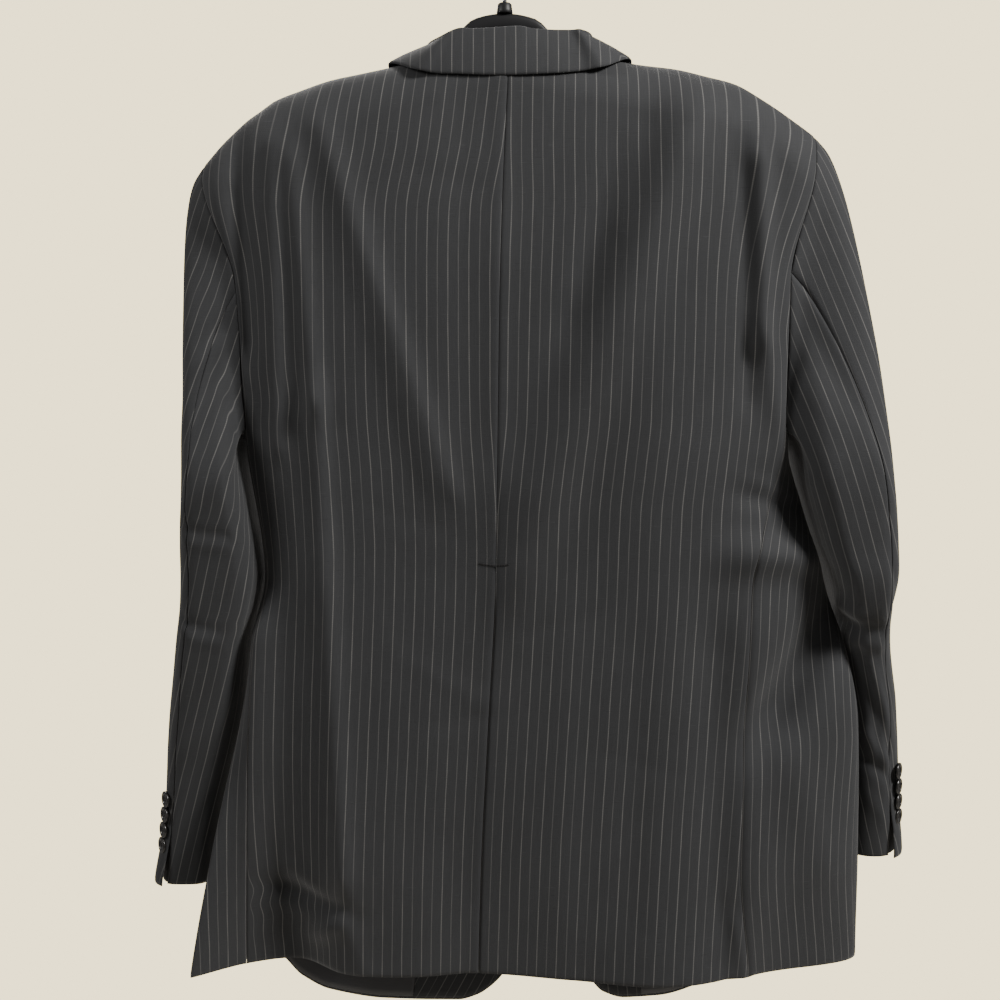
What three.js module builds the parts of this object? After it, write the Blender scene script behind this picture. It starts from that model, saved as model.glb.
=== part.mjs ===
// A two-button blazer on a hanger, in millimetres.
// +Z is up, the wearer would face -Y, and +X is the wearer's left.
// The origin is the inner crown of the hanger's hook, where a rod or a peg carries it.
import * as THREE from 'three';

// ---------------------------------------------------------------- sizes

const WALL = 2.0; // cloth, canvas and lining together
const LINING_WALL = 1.0;
const SEAM_GAP = 0.36;
const SLEEVE_SEAM_GAP = 0.9; // the sleeve's seams turn more, so their walls need more room
const EDGE_GAP = 0.8; // between a panel's curved edge and a strip that rises off it
const LAYER_GAP = 0.4; // between a panel and what is sewn on its edge or its face
const LYING_GAP = 1.1; // between a panel and a wider piece that lies on it
const SHOULDER_ROUND = 50; // height over which the shoulder rounds from its seam to the back
const RIDGE_Y = 2; // the shoulder seam's depth
const UNDERARM_Z = -440;
const UNDERARM_RISE = 12; // how far the armhole's corners stand above its lowest point
const ROW_UNIT = 100; // millimetres of height in one unit of r below the shoulder's rounding
const NECK_STATION = 2; // the station whose line starts at the neck point
const NECK_DROP = 30; // from the ridge line to the back neck seam, at the centre
const VENT_TOP_Z = -544;
const VENT_UNDERLAP = 0.5; // in stations, about 38 mm
const UNDERLAP_DEPTH = WALL + 0.8;

const FRONT_BUTTON = { radius: 10, thickness: 4.2, x: -36, upperZ: -602, lowerZ: -714 };
const CUFF_BUTTON = { radius: 7.5, thickness: 3.2, count: 4, pitch: 14.2, aboveCuff: 38 };

const HOOK = { wire: 3.6, innerRadius: 19, x: -4, sides: 8, tipAngle: -35, neckAngle: 235 };
const BOSS = { radius: 7, topZ: -64, bottomZ: -73 };
const BAR = { halfThickness: 5, halfHeight: 7.5, leftTip: 206, rightTip: -222, sides: 12, clearance: 1.9,
  domeDrop: 9, domeWidth: 37, domeEnd: 26 };

// ---------------------------------------------------------------- tables

/** Returns a function that reads a table smoothly: it takes a value of the first column and gives
 * an object of the others. Slopes are limited so that no column overshoots its rows. */
function smoothTable(columns, rows) {
  const keys = rows.map((row) => row[0]);
  const slopes = columns.slice(1).map((name, index) => columnSlopes(keys, rows.map((row) => row[index + 1])));
  return (key) => {
    const at = segmentOf(keys, key);
    const span = keys[at + 1] - keys[at];
    const t = (key - keys[at]) / span;
    const result = {};
    columns.slice(1).forEach((name, index) => {
      const from = rows[at][index + 1];
      const to = rows[at + 1][index + 1];
      if (t < 0) result[name] = from + slopes[index][at] * t * span;
      else if (t > 1) result[name] = to + slopes[index][at + 1] * (t - 1) * span;
      else result[name] = hermite(from, slopes[index][at] * span, to, slopes[index][at + 1] * span, t);
    });
    return result;
  };
}

function columnSlopes(keys, values) {
  const steps = keys.slice(1).map((key, i) => (values[i + 1] - values[i]) / (key - keys[i]));
  return keys.map((key, i) => {
    if (i === 0) return steps[0];
    if (i === keys.length - 1) return steps[i - 1];
    if (steps[i - 1] * steps[i] <= 0) return 0;
    return (2 * steps[i - 1] * steps[i]) / (steps[i - 1] + steps[i]);
  });
}

function segmentOf(keys, key) {
  const rising = keys[1] > keys[0];
  let at = 0;
  while (at < keys.length - 2 && (rising ? key > keys[at + 1] : key < keys[at + 1])) at += 1;
  return at;
}

function hermite(from, fromSlope, to, toSlope, t) {
  const t2 = t * t;
  const t3 = t2 * t;
  return (2 * t3 - 3 * t2 + 1) * from + (t3 - 2 * t2 + t) * fromSlope
    + (3 * t2 - 2 * t3) * to + (t3 - t2) * toSlope;
}

// The shoulder line: height of the cloth over each x. A neck seam is cut below its middle.
const ridgeLeft = smoothTable(['x', 'z'], [
  [-8, -88], [30, -98], [62, -111], [92, -118], [121, -124], [145, -129], [172, -138],
  [193, -146], [206, -155], [218, -163], [237, -180], [253, -197], [262, -207], [280, -230],
]);
const ridgeRight = smoothTable(['x', 'z'], [
  [8, -88], [40, -98], [80, -109], [118, -116], [151, -120], [177, -126], [201, -132],
  [227, -146], [253, -163], [279, -182], [293, -199], [301, -214], [315, -240],
]);

// Sections of the body, top to bottom. Each station has x and y, from the centre back round to the
// front edge: mid, blade, fold, seam (back to side), edge, turn, front seam, chest, front edge.
const STATION_NAMES = ['mid', 'blade', 'fold', 'seam', 'edge', 'turn', 'frontSeam', 'chest', 'frontEdge'];
const SECTION_COLUMNS = ['z', ...STATION_NAMES.flatMap((name) => [`${name}X`, `${name}Y`])];
const centreBack = smoothTable(['z', 'x', 'y'], [
  [-110, -8, 45], [-210, -3, 52], [-300, 0, 56], [-440, 2, 52], [-560, 4, 47],
  [-700, 11, 44], [-820, 17, 40], [-930, 20, 35], [-990, 21, 33],
]);
const leftSections = smoothTable(SECTION_COLUMNS, [
  [-110, 30, 44, 62, 42, 160, 36, 260, 30, 266, 12, 264, -15, 260, -30, 160, -40, 62, -36],
  [-210, 52, 54, 112, 54, 190, 47, 257, 32, 266, 12, 266, -16, 257, -40, 150, -58, 39, -52],
  [-300, 62, 57, 126, 57, 186, 48, 229, 36, 236, 12, 236, -14, 223, -44, 135, -70, 18, -64],
  [-440, 70, 52, 130, 53, 185, 46, 222, 28, 226, 6, 224, -14, 214, -38, 118, -72, -15, -70],
  [-560, 70, 46, 128, 48, 180, 43, 208, 24, 212, 4, 210, -14, 196, -36, 100, -66, -44, -67],
  [-620, 72, 45, 130, 48, 182, 42, 219, 38, 222, 12, 214, -14, 196, -34, 98, -60, -54, -61],
  [-700, 75, 45, 133, 47, 186, 38, 225, 38, 236, 22, 226, -8, 200, -30, 98, -50, -56, -51],
  [-820, 77, 44, 138, 45, 187, 24, 231, 29, 262, 36, 244, 0, 206, -26, 104, -33, -46, -34],
  [-930, 78, 43, 142, 37, 188, 4, 236, 15, 283, 42, 262, 8, 214, -18, 108, -15, -14, -15],
  [-990, 78, 43, 142, 36, 188, 2, 237, 13, 290, 44, 266, 10, 216, -16, 108, -12, 16, -12],
]);
const rightSections = smoothTable(SECTION_COLUMNS, [
  [-110, -45, 44, -80, 42, -180, 36, -277, 30, -285, 12, -284, -18, -277, -34, -185, -42, -80, -36],
  [-210, -62, 54, -128, 55, -205, 47, -270, 32, -284, 10, -284, -20, -270, -44, -172, -60, -60, -50],
  [-300, -68, 57, -138, 59, -205, 49, -250, 36, -262, 10, -260, -18, -240, -48, -155, -70, -50, -60],
  [-440, -72, 52, -142, 56, -205, 47, -250, 28, -256, 4, -254, -18, -240, -42, -140, -68, -33, -60],
  [-500, -72, 49, -141, 53, -197, 47, -236, 36, -272, 2, -266, -19, -243, -41, -138, -64, -25, -57],
  [-560, -72, 47, -140, 51, -188, 47, -222, 42, -291, 0, -282, -20, -246, -40, -135, -58, -18, -53],
  [-620, -72, 46, -140, 50, -184, 48, -220, 44, -312, 2, -300, -22, -254, -40, -132, -53, -14, -47],
  [-700, -72, 46, -142, 50, -184, 50, -218, 46, -328, 0, -314, -26, -262, -40, -132, -46, -14, -40],
  [-820, -70, 46, -144, 54, -186, 52, -216, 46, -333, -8, -320, -31, -274, -40, -134, -32, -38, -28],
  [-930, -62, 47, -145, 61, -190, 55, -227, 37, -336, -14, -326, -34, -286, -38, -150, -16, -80, -12],
  [-990, -62, 47, -145, 62, -190, 56, -229, 36, -337, -15, -327, -34, -288, -36, -150, -14, -88, -11],
]);

// The lower edge of the cloth at each station.
const hemLeft = smoothTable(['station', 'z'], [
  [0, -929], [5, -930], [6, -931], [7, -934], [7.25, -958], [7.5, -971], [8, -977],
  [8.7, -978], [8.86, -973], [8.96, -962], [9, -950],
]);
const hemRight = smoothTable(['station', 'z'], [
  [0, -930], [5, -930], [6, -930], [7, -932], [7.4, -945], [7.7, -966], [8, -975],
  [8.5, -976], [8.8, -970], [8.94, -960], [9, -950],
]);

// Folds of the back, each along a line: depth is positive where the cloth stands out.
const FOLDS = [
  { fromX: -162, fromZ: -172, toX: -25, toZ: -470, width: 30, depth: 9 },
  { fromX: 150, fromZ: -178, toX: 58, toZ: -460, width: 16, depth: 5 },
  { fromX: 175, fromZ: -200, toX: 158, toZ: -402, width: 10, depth: 4 },
  { fromX: 158, fromZ: -402, toX: 141, toZ: -830, width: 11, depth: 4 },
  { fromX: -217, fromZ: -200, toX: -223, toZ: -345, width: 11, depth: 6 },
  { fromX: -223, fromZ: -345, toX: -250, toZ: -440, width: 12, depth: 4 },
  { fromX: 158, fromZ: -570, toX: 164, toZ: -830, width: 26, depth: 6 },
  { fromX: -224, fromZ: -620, toX: -222, toZ: -900, width: 26, depth: 5 },
  { fromX: 224, fromZ: -180, toX: 216, toZ: -350, width: 10, depth: -8 },
  { fromX: 191, fromZ: -190, toX: 192, toZ: -440, width: 9, depth: 4 },
  { fromX: 196, fromZ: -855, toX: 150, toZ: -866, width: 11, depth: -7 },
  { fromX: 147, fromZ: -877, toX: 162, toZ: -890, width: 10, depth: 5 },
  { fromX: -266, fromZ: -500, toX: -225, toZ: -489, width: 10, depth: -5 },
  { fromX: -224, fromZ: -542, toX: -285, toZ: -542, width: 18, depth: 7 },
  { fromX: -302, fromZ: -590, toX: -250, toZ: -680, width: 26, depth: -14 },
];

// Sleeve sections: centre, half width across the body, half width from front to back, and the power
// of sine and cosine that shapes the back half: 1 is an ellipse and less is squarer.
const SLEEVE_COLUMNS = ['z', 'x', 'y', 'halfX', 'halfY', 'power'];
const FRONT_POWER = 0.9;
const sleeves = {
  left: {
    side: 1,
    cuffZ: -858,
    sections: smoothTable(SLEEVE_COLUMNS, [
      [-480, 252.4, -16, 27.4, 80, 0.5], [-560, 250.7, -24, 35.7, 74, 0.5], [-622, 261.2, -32, 33.2, 73, 0.55],
      [-700, 272, -44, 35, 70, 0.6], [-780, 284.4, -54, 31.4, 66, 0.6], [-858, 295.7, -58, 29.7, 61, 0.6],
    ]),
  },
  right: {
    side: -1,
    cuffZ: -836,
    sections: smoothTable(SLEEVE_COLUMNS, [
      [-480, -308.5, -14, 39.5, 74, 0.5], [-520, -317, -18, 36, 74, 0.5], [-565, -327.1, -24, 29.1, 76, 0.55],
      [-600, -332.5, -38, 24.5, 74, 0.7], [-640, -338.1, -54, 27.1, 70, 0.86], [-700, -347.8, -60, 27.8, 66, 0.9],
      [-757, -350.7, -64, 30.7, 64, 0.9], [-836, -353.2, -70, 34.2, 60, 0.9],
    ]),
  },
};
const SLEEVE_TOP_Z = -480;
const TANGENT_STEP = 5;

// ---------------------------------------------------------------- the body's surface

const mix = (from, to, t) => from + (to - from) * t;
const clamp01 = (t) => Math.min(1, Math.max(0, t));
const smoothstep = (t) => clamp01(t) ** 2 * (3 - 2 * clamp01(t));
const scaled = (vector, factor) => vector.clone().multiplyScalar(factor);
const moved = (point, direction, distance) => point.clone().addScaledVector(direction, distance);

const sectionCache = new Map();
function sectionAt(z) {
  const key = z.toFixed(5);
  if (!sectionCache.has(key)) {
    const side = (read) => STATION_NAMES.map((name) => new THREE.Vector2(read[`${name}X`], read[`${name}Y`]));
    const centre = centreBack(z);
    sectionCache.set(key, [
      ...side(rightSections(z)).reverse(), new THREE.Vector2(centre.x, centre.y), ...side(leftSections(z)),
    ]);
  }
  return sectionCache.get(key);
}

/** The point at station s of the section at height z. Station 0 is the centre back, the wearer's
 * left is positive, and a curve with chord-length slopes runs through the stations. */
function sectionPoint(s, z) {
  const points = sectionAt(z);
  const last = points.length - 1;
  const middle = last / 2;
  const at = Math.min(last - 1, Math.max(0, Math.floor(s + middle)));
  const t = s + middle - at;
  const from = points[at];
  const to = points[at + 1];
  const before = at > 0 ? points[at - 1] : from.clone().multiplyScalar(2).sub(to);
  const after = at < last - 1 ? points[at + 2] : to.clone().multiplyScalar(2).sub(from);
  if (t < 0 || t > 1) return from.clone().lerp(to, t);
  const length = from.distanceTo(to);
  const slope = (a, b, c) => {
    const ab = a.distanceTo(b);
    const bc = b.distanceTo(c);
    return b.clone().sub(a).multiplyScalar(bc / ab)
      .add(c.clone().sub(b).multiplyScalar(ab / bc))
      .multiplyScalar(length / (ab + bc));
  };
  const fromSlope = slope(before, from, to);
  const toSlope = slope(from, to, after);
  return new THREE.Vector2(
    hermite(from.x, fromSlope.x, to.x, toSlope.x, t),
    hermite(from.y, fromSlope.y, to.y, toSlope.y, t),
  );
}

const ridgeZ = (x) => (x > -8 ? ridgeLeft(x).z : ridgeRight(-x).z);

const topCache = new Map();
/** Height of the shoulder line over station s. */
function ridgeOver(s) {
  const key = s.toFixed(6);
  if (!topCache.has(key)) {
    let z = -150;
    for (let step = 0; step < 30; step += 1) z = mix(z, ridgeZ(sectionPoint(s, z).x), 0.7);
    topCache.set(key, z);
  }
  return topCache.get(key);
}

function foldDepth(s, x, z) {
  const onBack = smoothstep(5.4 - Math.abs(s));
  let depth = 0;
  for (const fold of FOLDS) {
    const alongX = fold.toX - fold.fromX;
    const alongZ = fold.toZ - fold.fromZ;
    const length = Math.hypot(alongX, alongZ);
    const along = ((x - fold.fromX) * alongX + (z - fold.fromZ) * alongZ) / length;
    const across = ((x - fold.fromX) * alongZ - (z - fold.fromZ) * alongX) / length;
    const past = Math.max(0, -along, along - length);
    depth += fold.depth * Math.exp(-((across / fold.width) ** 2) - (past / (fold.width * 2)) ** 2);
  }
  return depth * onBack;
}

/** The outer surface of the body. r runs down from the shoulder line: 0 to 1 rounds over the
 * shoulder as a quarter turn, and each further unit is ROW_UNIT millimetres of height. */
function body(s, r) {
  const turn = (Math.min(r, 1) * Math.PI) / 2;
  const z = ridgeOver(s) - SHOULDER_ROUND * (1 - Math.cos(turn)) - Math.max(0, r - 1) * ROW_UNIT;
  const point = sectionPoint(s, z);
  const depth = point.y + foldDepth(s, point.x, z) - RIDGE_Y;
  return new THREE.Vector3(point.x, RIDGE_Y + depth * Math.sin(turn), z);
}

function rowAt(s, z) {
  const below = ridgeOver(s) - z;
  if (below >= SHOULDER_ROUND) return 1 + (below - SHOULDER_ROUND) / ROW_UNIT;
  return (Math.acos(1 - Math.max(0, below) / SHOULDER_ROUND) * 2) / Math.PI;
}

/** Unit vectors at a point of the body: along the station direction, down it, and out of it. */
function bodyFrame(s, r) {
  const step = 0.004;
  const across = body(s + step, r).sub(body(s - step, r)).normalize();
  const down = body(s, r + step).sub(body(s, r - step)).normalize();
  return { across, down, normal: across.clone().cross(down).normalize() };
}

const bodyAt = (s, z) => body(s, rowAt(s, z));
const frameAt = (s, z) => bodyFrame(s, rowAt(s, z));

function neckRow(s) {
  const share = Math.abs(s) / NECK_STATION;
  if (share >= 1) return 0;
  return rowAt(s, ridgeOver(s) - NECK_DROP * (1 - share * share) ** 0.75);
}

const hemAt = (s) => (s >= 0 ? hemLeft(s).z : hemRight(-s).z);
const underarmAt = (s) => {
  const share = Math.min(1, Math.abs(Math.abs(s) - 5.5) / 1.5);
  return UNDERARM_Z + UNDERARM_RISE * share * share;
};

// ---------------------------------------------------------------- walls

/** A closed wall on a grid of outer points: rows of columns, each with its own inward step. */
function wallGeometry(points, inward) {
  const rows = points.length;
  const columns = points[0].length;
  const positions = [];
  const push = (point) => positions.push(point.x, point.y, point.z);
  points.forEach((row) => row.forEach(push));
  points.forEach((row, i) => row.forEach((point, j) => push(point.clone().add(inward[i][j]))));
  const outer = (i, j) => i * columns + j;
  const inner = (i, j) => rows * columns + i * columns + j;
  const indices = [];
  const quad = (a, b, c, d) => indices.push(a, b, c, a, c, d);
  for (let i = 0; i < rows - 1; i += 1) {
    for (let j = 0; j < columns - 1; j += 1) {
      quad(outer(i, j), outer(i + 1, j), outer(i + 1, j + 1), outer(i, j + 1));
      quad(inner(i, j), inner(i, j + 1), inner(i + 1, j + 1), inner(i + 1, j));
    }
  }
  for (let i = 0; i < rows - 1; i += 1) {
    quad(outer(i, 0), inner(i, 0), inner(i + 1, 0), outer(i + 1, 0));
    quad(outer(i + 1, columns - 1), inner(i + 1, columns - 1), inner(i, columns - 1), outer(i, columns - 1));
  }
  for (let j = 0; j < columns - 1; j += 1) {
    quad(outer(0, j + 1), inner(0, j + 1), inner(0, j), outer(0, j));
    quad(outer(rows - 1, j), inner(rows - 1, j), inner(rows - 1, j + 1), outer(rows - 1, j + 1));
  }
  const geometry = new THREE.BufferGeometry();
  geometry.setAttribute('position', new THREE.Float32BufferAttribute(positions, 3));
  geometry.setIndex(indices);
  return facingOut(geometry);
}

/** Turns every triangle round if the solid's signed volume is negative. */
function facingOut(geometry) {
  const position = geometry.getAttribute('position');
  const index = geometry.getIndex().array;
  const corner = (i) => new THREE.Vector3().fromBufferAttribute(position, index[i]);
  let volume = 0;
  for (let i = 0; i < index.length; i += 3) volume += corner(i).dot(corner(i + 1).cross(corner(i + 2)));
  if (volume < 0) {
    for (let i = 0; i < index.length; i += 3) {
      const kept = index[i];
      index[i] = index[i + 1];
      index[i + 1] = kept;
    }
  }
  geometry.computeVertexNormals();
  return geometry;
}

/** Moves the border of a grid in by half a seam gap, on the sides that are named. */
function insetBorders(points, sides, gap = SEAM_GAP) {
  const half = gap / 2;
  const pull = (point, toward) => point.addScaledVector(toward.clone().sub(point).normalize(), half);
  const last = points.length - 1;
  const lastColumn = points[0].length - 1;
  if (sides.includes('first')) points.forEach((row) => pull(row[0], row[1]));
  if (sides.includes('last')) points.forEach((row) => pull(row[lastColumn], row[lastColumn - 1]));
  if (sides.includes('top')) points[0].forEach((point, j) => pull(point, points[1][j]));
  if (sides.includes('bottom')) points[last].forEach((point, j) => pull(point, points[last - 1][j]));
  return points;
}

const cloth = () => new THREE.MeshStandardMaterial({ color: 0x3b3937, roughness: 0.9, metalness: 0 });
const satin = () => new THREE.MeshStandardMaterial({ color: 0x232325, roughness: 0.5, metalness: 0 });
const horn = () => new THREE.MeshStandardMaterial({ color: 0x2a2724, roughness: 0.4, metalness: 0 });
const plastic = () => new THREE.MeshStandardMaterial({ color: 0x141415, roughness: 0.55, metalness: 0 });
const chrome = () => new THREE.MeshStandardMaterial({ color: 0xc4c6ca, roughness: 0.2, metalness: 1 });

// The tables stand on the garment's own centre line. The whole part is shifted so that the crown of
// the hook is the origin.
const garment = new THREE.Group();
const hung = new THREE.Group();
hung.position.set(-HOOK.x, -RIDGE_Y, 0);
garment.add(hung);
function add(name, geometry, material) {
  const mesh = new THREE.Mesh(geometry, material);
  mesh.name = name;
  hung.add(mesh);
  return mesh;
}

// ---------------------------------------------------------------- body panels

const ROUND_ROWS = 3;
const UPPER_ROWS = 6;
const LOWER_ROWS = 13;
const UNDERARM_ROW = ROUND_ROWS + UPPER_ROWS;
const ALL_ROWS = UNDERARM_ROW + LOWER_ROWS;

/** r of row k on station s: rounding rows, then rows to the underarm, then rows to the hem. */
function panelRow(s, k) {
  const start = Math.abs(s) < NECK_STATION ? neckRow(s) : 0;
  if (k <= ROUND_ROWS) return mix(start, 1, k / ROUND_ROWS);
  const underarm = rowAt(s, underarmAt(s));
  if (k <= UNDERARM_ROW) return mix(1, underarm, (k - ROUND_ROWS) / UPPER_ROWS);
  return mix(underarm, rowAt(s, hemAt(s)), (k - UNDERARM_ROW) / LOWER_ROWS);
}

function panelGrid(stations, firstRow, lastRow) {
  const points = [];
  const normals = [];
  for (let k = firstRow; k <= lastRow; k += 1) {
    points.push(stations.map((s) => body(s, panelRow(s, k))));
    normals.push(stations.map((s) => bodyFrame(s, panelRow(s, k)).normal));
  }
  return { points, normals };
}

const inwardSteps = (normals, depth) => normals.map((row) => row.map((normal) => scaled(normal, -depth)));

const BACK_STATIONS = [0, 0.4, 0.8, 1.2, 1.6, 2, 2.33, 2.67, 3, 3.25, 3.5, 3.75, 4];
const SIDE_STATIONS = [4, 4.4, 4.8, 5.2, 5.6, 6, 6.5, 7];
const FRONT_STATIONS = [7, 7.12, 7.25, 7.42, 7.6, 7.8, 8, 8.25, 8.5, 8.7, 8.86, 8.95, 9];

function addPanels(name, side) {
  const turned = (stations) => stations.map((s) => s * side);
  const front = panelGrid(turned(FRONT_STATIONS), 0, ALL_ROWS);
  insetBorders(front.points, ['first', 'top']);
  add(`front_${name}`, wallGeometry(front.points, inwardSteps(front.normals, WALL)), cloth());
  const flank = panelGrid(turned(SIDE_STATIONS), UNDERARM_ROW, ALL_ROWS);
  insetBorders(flank.points, ['first', 'last']);
  add(`side_${name}`, wallGeometry(flank.points, inwardSteps(flank.normals, WALL)), cloth());
}

function addBackLeft() {
  const grid = panelGrid(BACK_STATIONS, 0, ALL_ROWS);
  insetBorders(grid.points, ['first', 'last', 'top']);
  add('back_left', wallGeometry(grid.points, inwardSteps(grid.normals, WALL)), cloth());
}

/** The row of the centre back that stands nearest below a height. */
function rowsAbove(z) {
  let k = 0;
  while (body(0, panelRow(0, k)).z > z) k += 1;
  return k;
}

/** The right back panel runs on under the left one below the top of the vent. */
function addBackRight() {
  const stations = BACK_STATIONS.map((s) => -s);
  const edgeStations = [0, -0.025, -0.06];
  const lapStations = [VENT_UNDERLAP, 0.02, -0.06];
  const lapDepths = [UNDERLAP_DEPTH, UNDERLAP_DEPTH, 0];
  const columns = [...edgeStations, ...stations.slice(1)];
  const points = [];
  const normals = [];
  const ventRow = rowsAbove(VENT_TOP_Z);
  for (let k = 0; k <= ALL_ROWS; k += 1) {
    const lapped = k > ventRow;
    const rowStations = columns.map((s, j) => (lapped && j < lapStations.length ? lapStations[j] : s));
    const frames = rowStations.map((s) => bodyFrame(s, panelRow(s, k)));
    points.push(rowStations.map((s, j) => {
      const depth = k >= ventRow && j < lapDepths.length ? lapDepths[j] : 0;
      return moved(body(s, panelRow(s, k)), frames[j].normal, -depth);
    }));
    normals.push(frames.map((frame) => frame.normal));
  }
  insetBorders(points, ['first', 'last', 'top']);
  add('back_right', wallGeometry(points, inwardSteps(normals, WALL)), cloth());
}

// ---------------------------------------------------------------- collar and lapels

/** One section of a strip that rises off an edge of the body, turns over and lies back on it.
 * edge: point, normal and beyond, the direction that runs on past the edge in the cloth's plane.
 * lean: degrees by which the stand tilts from beyond to the normal, splay: degrees by which it
 * spreads round the normal, stand: its height before the turn, end: the station and the drop below
 * the shoulder line where the strip's free edge lies, and its extra lift, bow: how far its middle
 * bulges. */
const TURN_RADIUS = 3.2;
const TURN_STEPS = 4;
const FALL_STEPS = 5;
function turnedSection({ edge, lean, splay = 0, stand, end, bow }) {
  const { point, normal: out, beyond: straight } = edge;
  const beyond = straight.clone().applyAxisAngle(out, THREE.MathUtils.degToRad(splay));
  const tilt = THREE.MathUtils.degToRad(lean);
  const rise = scaled(beyond, Math.cos(tilt)).addScaledVector(out, Math.sin(tilt));
  const toNeck = scaled(beyond, Math.sin(tilt)).addScaledVector(out, -Math.cos(tilt));
  const base = moved(moved(point, beyond, EDGE_GAP), toNeck, WALL);
  const at = (up, back) => moved(moved(base, rise, up), toNeck, -back);
  const points = [at(0, 0), at(stand / 2, 0), at(stand, 0)];
  for (let i = 1; i <= TURN_STEPS; i += 1) {
    const angle = (i / TURN_STEPS) * Math.PI;
    points.push(at(stand + TURN_RADIUS * Math.sin(angle), TURN_RADIUS * (1 - Math.cos(angle))));
  }
  const from = points[points.length - 1];
  const endZ = ridgeOver(end.s) - end.drop;
  const { normal } = frameAt(end.s, endZ);
  const to = moved(bodyAt(end.s, endZ), normal, WALL + LYING_GAP + (end.lift ?? 0));
  for (let i = 1; i <= FALL_STEPS; i += 1) {
    const t = i / FALL_STEPS;
    points.push(moved(from.clone().lerp(to, t), normal, bow * 4 * t * (1 - t)));
  }
  return points;
}

/** The back's neck seam at station s, and the direction past it. */
function neckEdge(s) {
  const row = neckRow(s);
  const { normal } = bodyFrame(s, row);
  const step = 0.01;
  const along = body(s + step, neckRow(s + step)).sub(body(s - step, neckRow(s - step)));
  return { point: body(s, row), normal, beyond: along.cross(normal).normalize() };
}

/** The front's roll edge at row r, and the direction past it. */
function rollEdge(side, r) {
  const s = 9 * side;
  const frame = bodyFrame(s, r);
  const step = 0.01;
  const along = body(s, r + step).sub(body(s, r - step));
  return { point: body(s, r), normal: frame.normal, beyond: frame.normal.clone().cross(along).normalize()
    .multiplyScalar(-side) };
}

/** The neck point, where neck seam, roll edge and shoulder seam meet. */
function neckPoint(side) {
  const back = neckEdge(1.93 * side);
  const front = rollEdge(side, 0.08);
  return {
    point: body(NECK_STATION * side, 0),
    normal: back.normal.add(front.normal).normalize(),
    beyond: back.beyond.add(front.beyond).normalize(),
  };
}

/** Normals of a grid from its own neighbours. */
function gridNormals(points, closed) {
  const rows = points.length;
  const columns = points[0].length;
  const wrap = (j) => (closed ? (j + columns) % columns : Math.min(columns - 1, Math.max(0, j)));
  return points.map((row, i) => row.map((point, j) => {
    const down = points[Math.min(rows - 1, i + 1)][j].clone().sub(points[Math.max(0, i - 1)][j]);
    const across = points[i][wrap(j + 1)].clone().sub(points[i][wrap(j - 1)]);
    return down.cross(across).normalize();
  }));
}

// The collar along the back neck seam, from the centre back to the neck point.
const collarBack = {
  left: [
    { station: 0, lean: 10, stand: 26, end: { s: 0, drop: 44 } },
    { station: 0.4, lean: 10, stand: 26, end: { s: 0.52, drop: 40 } },
    { station: 0.8, lean: 12, stand: 27, end: { s: 1.0, drop: 34.5 } },
    { station: 1.2, lean: 20, stand: 27, end: { s: 1.52, drop: 27 } },
    { station: 1.6, lean: 38, stand: 19, end: { s: 2.0, drop: 18, lift: 3.4 } },
    { station: 2, lean: 66, stand: 8, end: { s: 2.3, drop: 0, lift: 2 } },
  ],
  right: [
    { station: 0, lean: 10, stand: 26, end: { s: 0, drop: 44 } },
    { station: 0.4, lean: 10, stand: 27, end: { s: 0.52, drop: 38 } },
    { station: 0.8, lean: 12, stand: 28.5, splay: 8, end: { s: 1.0, drop: 32 } },
    { station: 1.2, lean: 16, stand: 29, splay: 20, end: { s: 1.52, drop: 24.5 } },
    { station: 1.6, lean: 38, stand: 24, splay: 26, end: { s: 2.0, drop: 18, lift: 3.4 } },
    { station: 2, lean: 72, stand: 13, end: { s: 2.3, drop: 0, lift: 2 } },
  ],
};
// The collar down the roll edge to its front end: r is the body's row there.
const collarFront = [
  { r: 1 / 3, lean: 40, stand: 5, end: { s: 8.64, drop: 9 } },
  { r: 2 / 3, lean: 18, stand: 3.5, end: { s: 8.57, drop: 28 } },
  { r: 1, lean: 6, stand: 2.5, end: { s: 8.5, drop: 53 } },
  { r: 1.13, lean: 2, stand: 2.5, end: { s: 8.47, drop: 65 } },
];

function collarSections(side) {
  const mirrored = ({ s, drop, lift }) => ({ s: s * side, drop, lift });
  const back = collarBack[side > 0 ? 'left' : 'right'];
  const edges = [
    ...back.map((row) => (row.station < NECK_STATION ? neckEdge(row.station * side) : neckPoint(side))),
    ...collarFront.map((row) => rollEdge(side, row.r)),
  ];
  return [...back, ...collarFront].map(({ lean, splay, stand, end }, i) => (
    turnedSection({ edge: edges[i], lean, splay: (splay ?? 0) * side, stand, end: mirrored(end), bow: 1.5 })
  ));
}

function addCollar() {
  const points = [...collarSections(-1).slice(1).reverse(), ...collarSections(1)];
  add('collar', wallGeometry(points, inwardSteps(gridNormals(points, false), WALL)), cloth());
}

// The lapel down the roll edge to the break: row is the front panel's own row there.
const lapelTable = smoothTable(['row', 'stand', 'bow', 'endStation', 'endDrop'], [
  [3.42, 2.5, 4, 8.05, 78], [5, 2.5, 4, 8.12, 130], [7, 2, 3, 8.33, 218],
  [10, 1.5, 2, 8.63, 345], [12, 1, 1, 8.86, 432], [13, 0.6, 0.5, 8.94, 473],
]);
const LAPEL_ROWS = [3.42, 4, 5, 6, 7, 8, 9, 10, 11, 12, 13];

function addLapel(name, side) {
  const points = LAPEL_ROWS.map((row) => {
    const { stand, bow, endStation, endDrop } = lapelTable(row);
    const edge = rollEdge(side, panelRow(9 * side, row));
    return turnedSection({ edge, lean: 2, stand, end: { s: endStation * side, drop: endDrop }, bow });
  });
  add(`lapel_${name}`, wallGeometry(points, inwardSteps(gridNormals(points, false), WALL * side)), cloth());
}

// ---------------------------------------------------------------- sleeves

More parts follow.
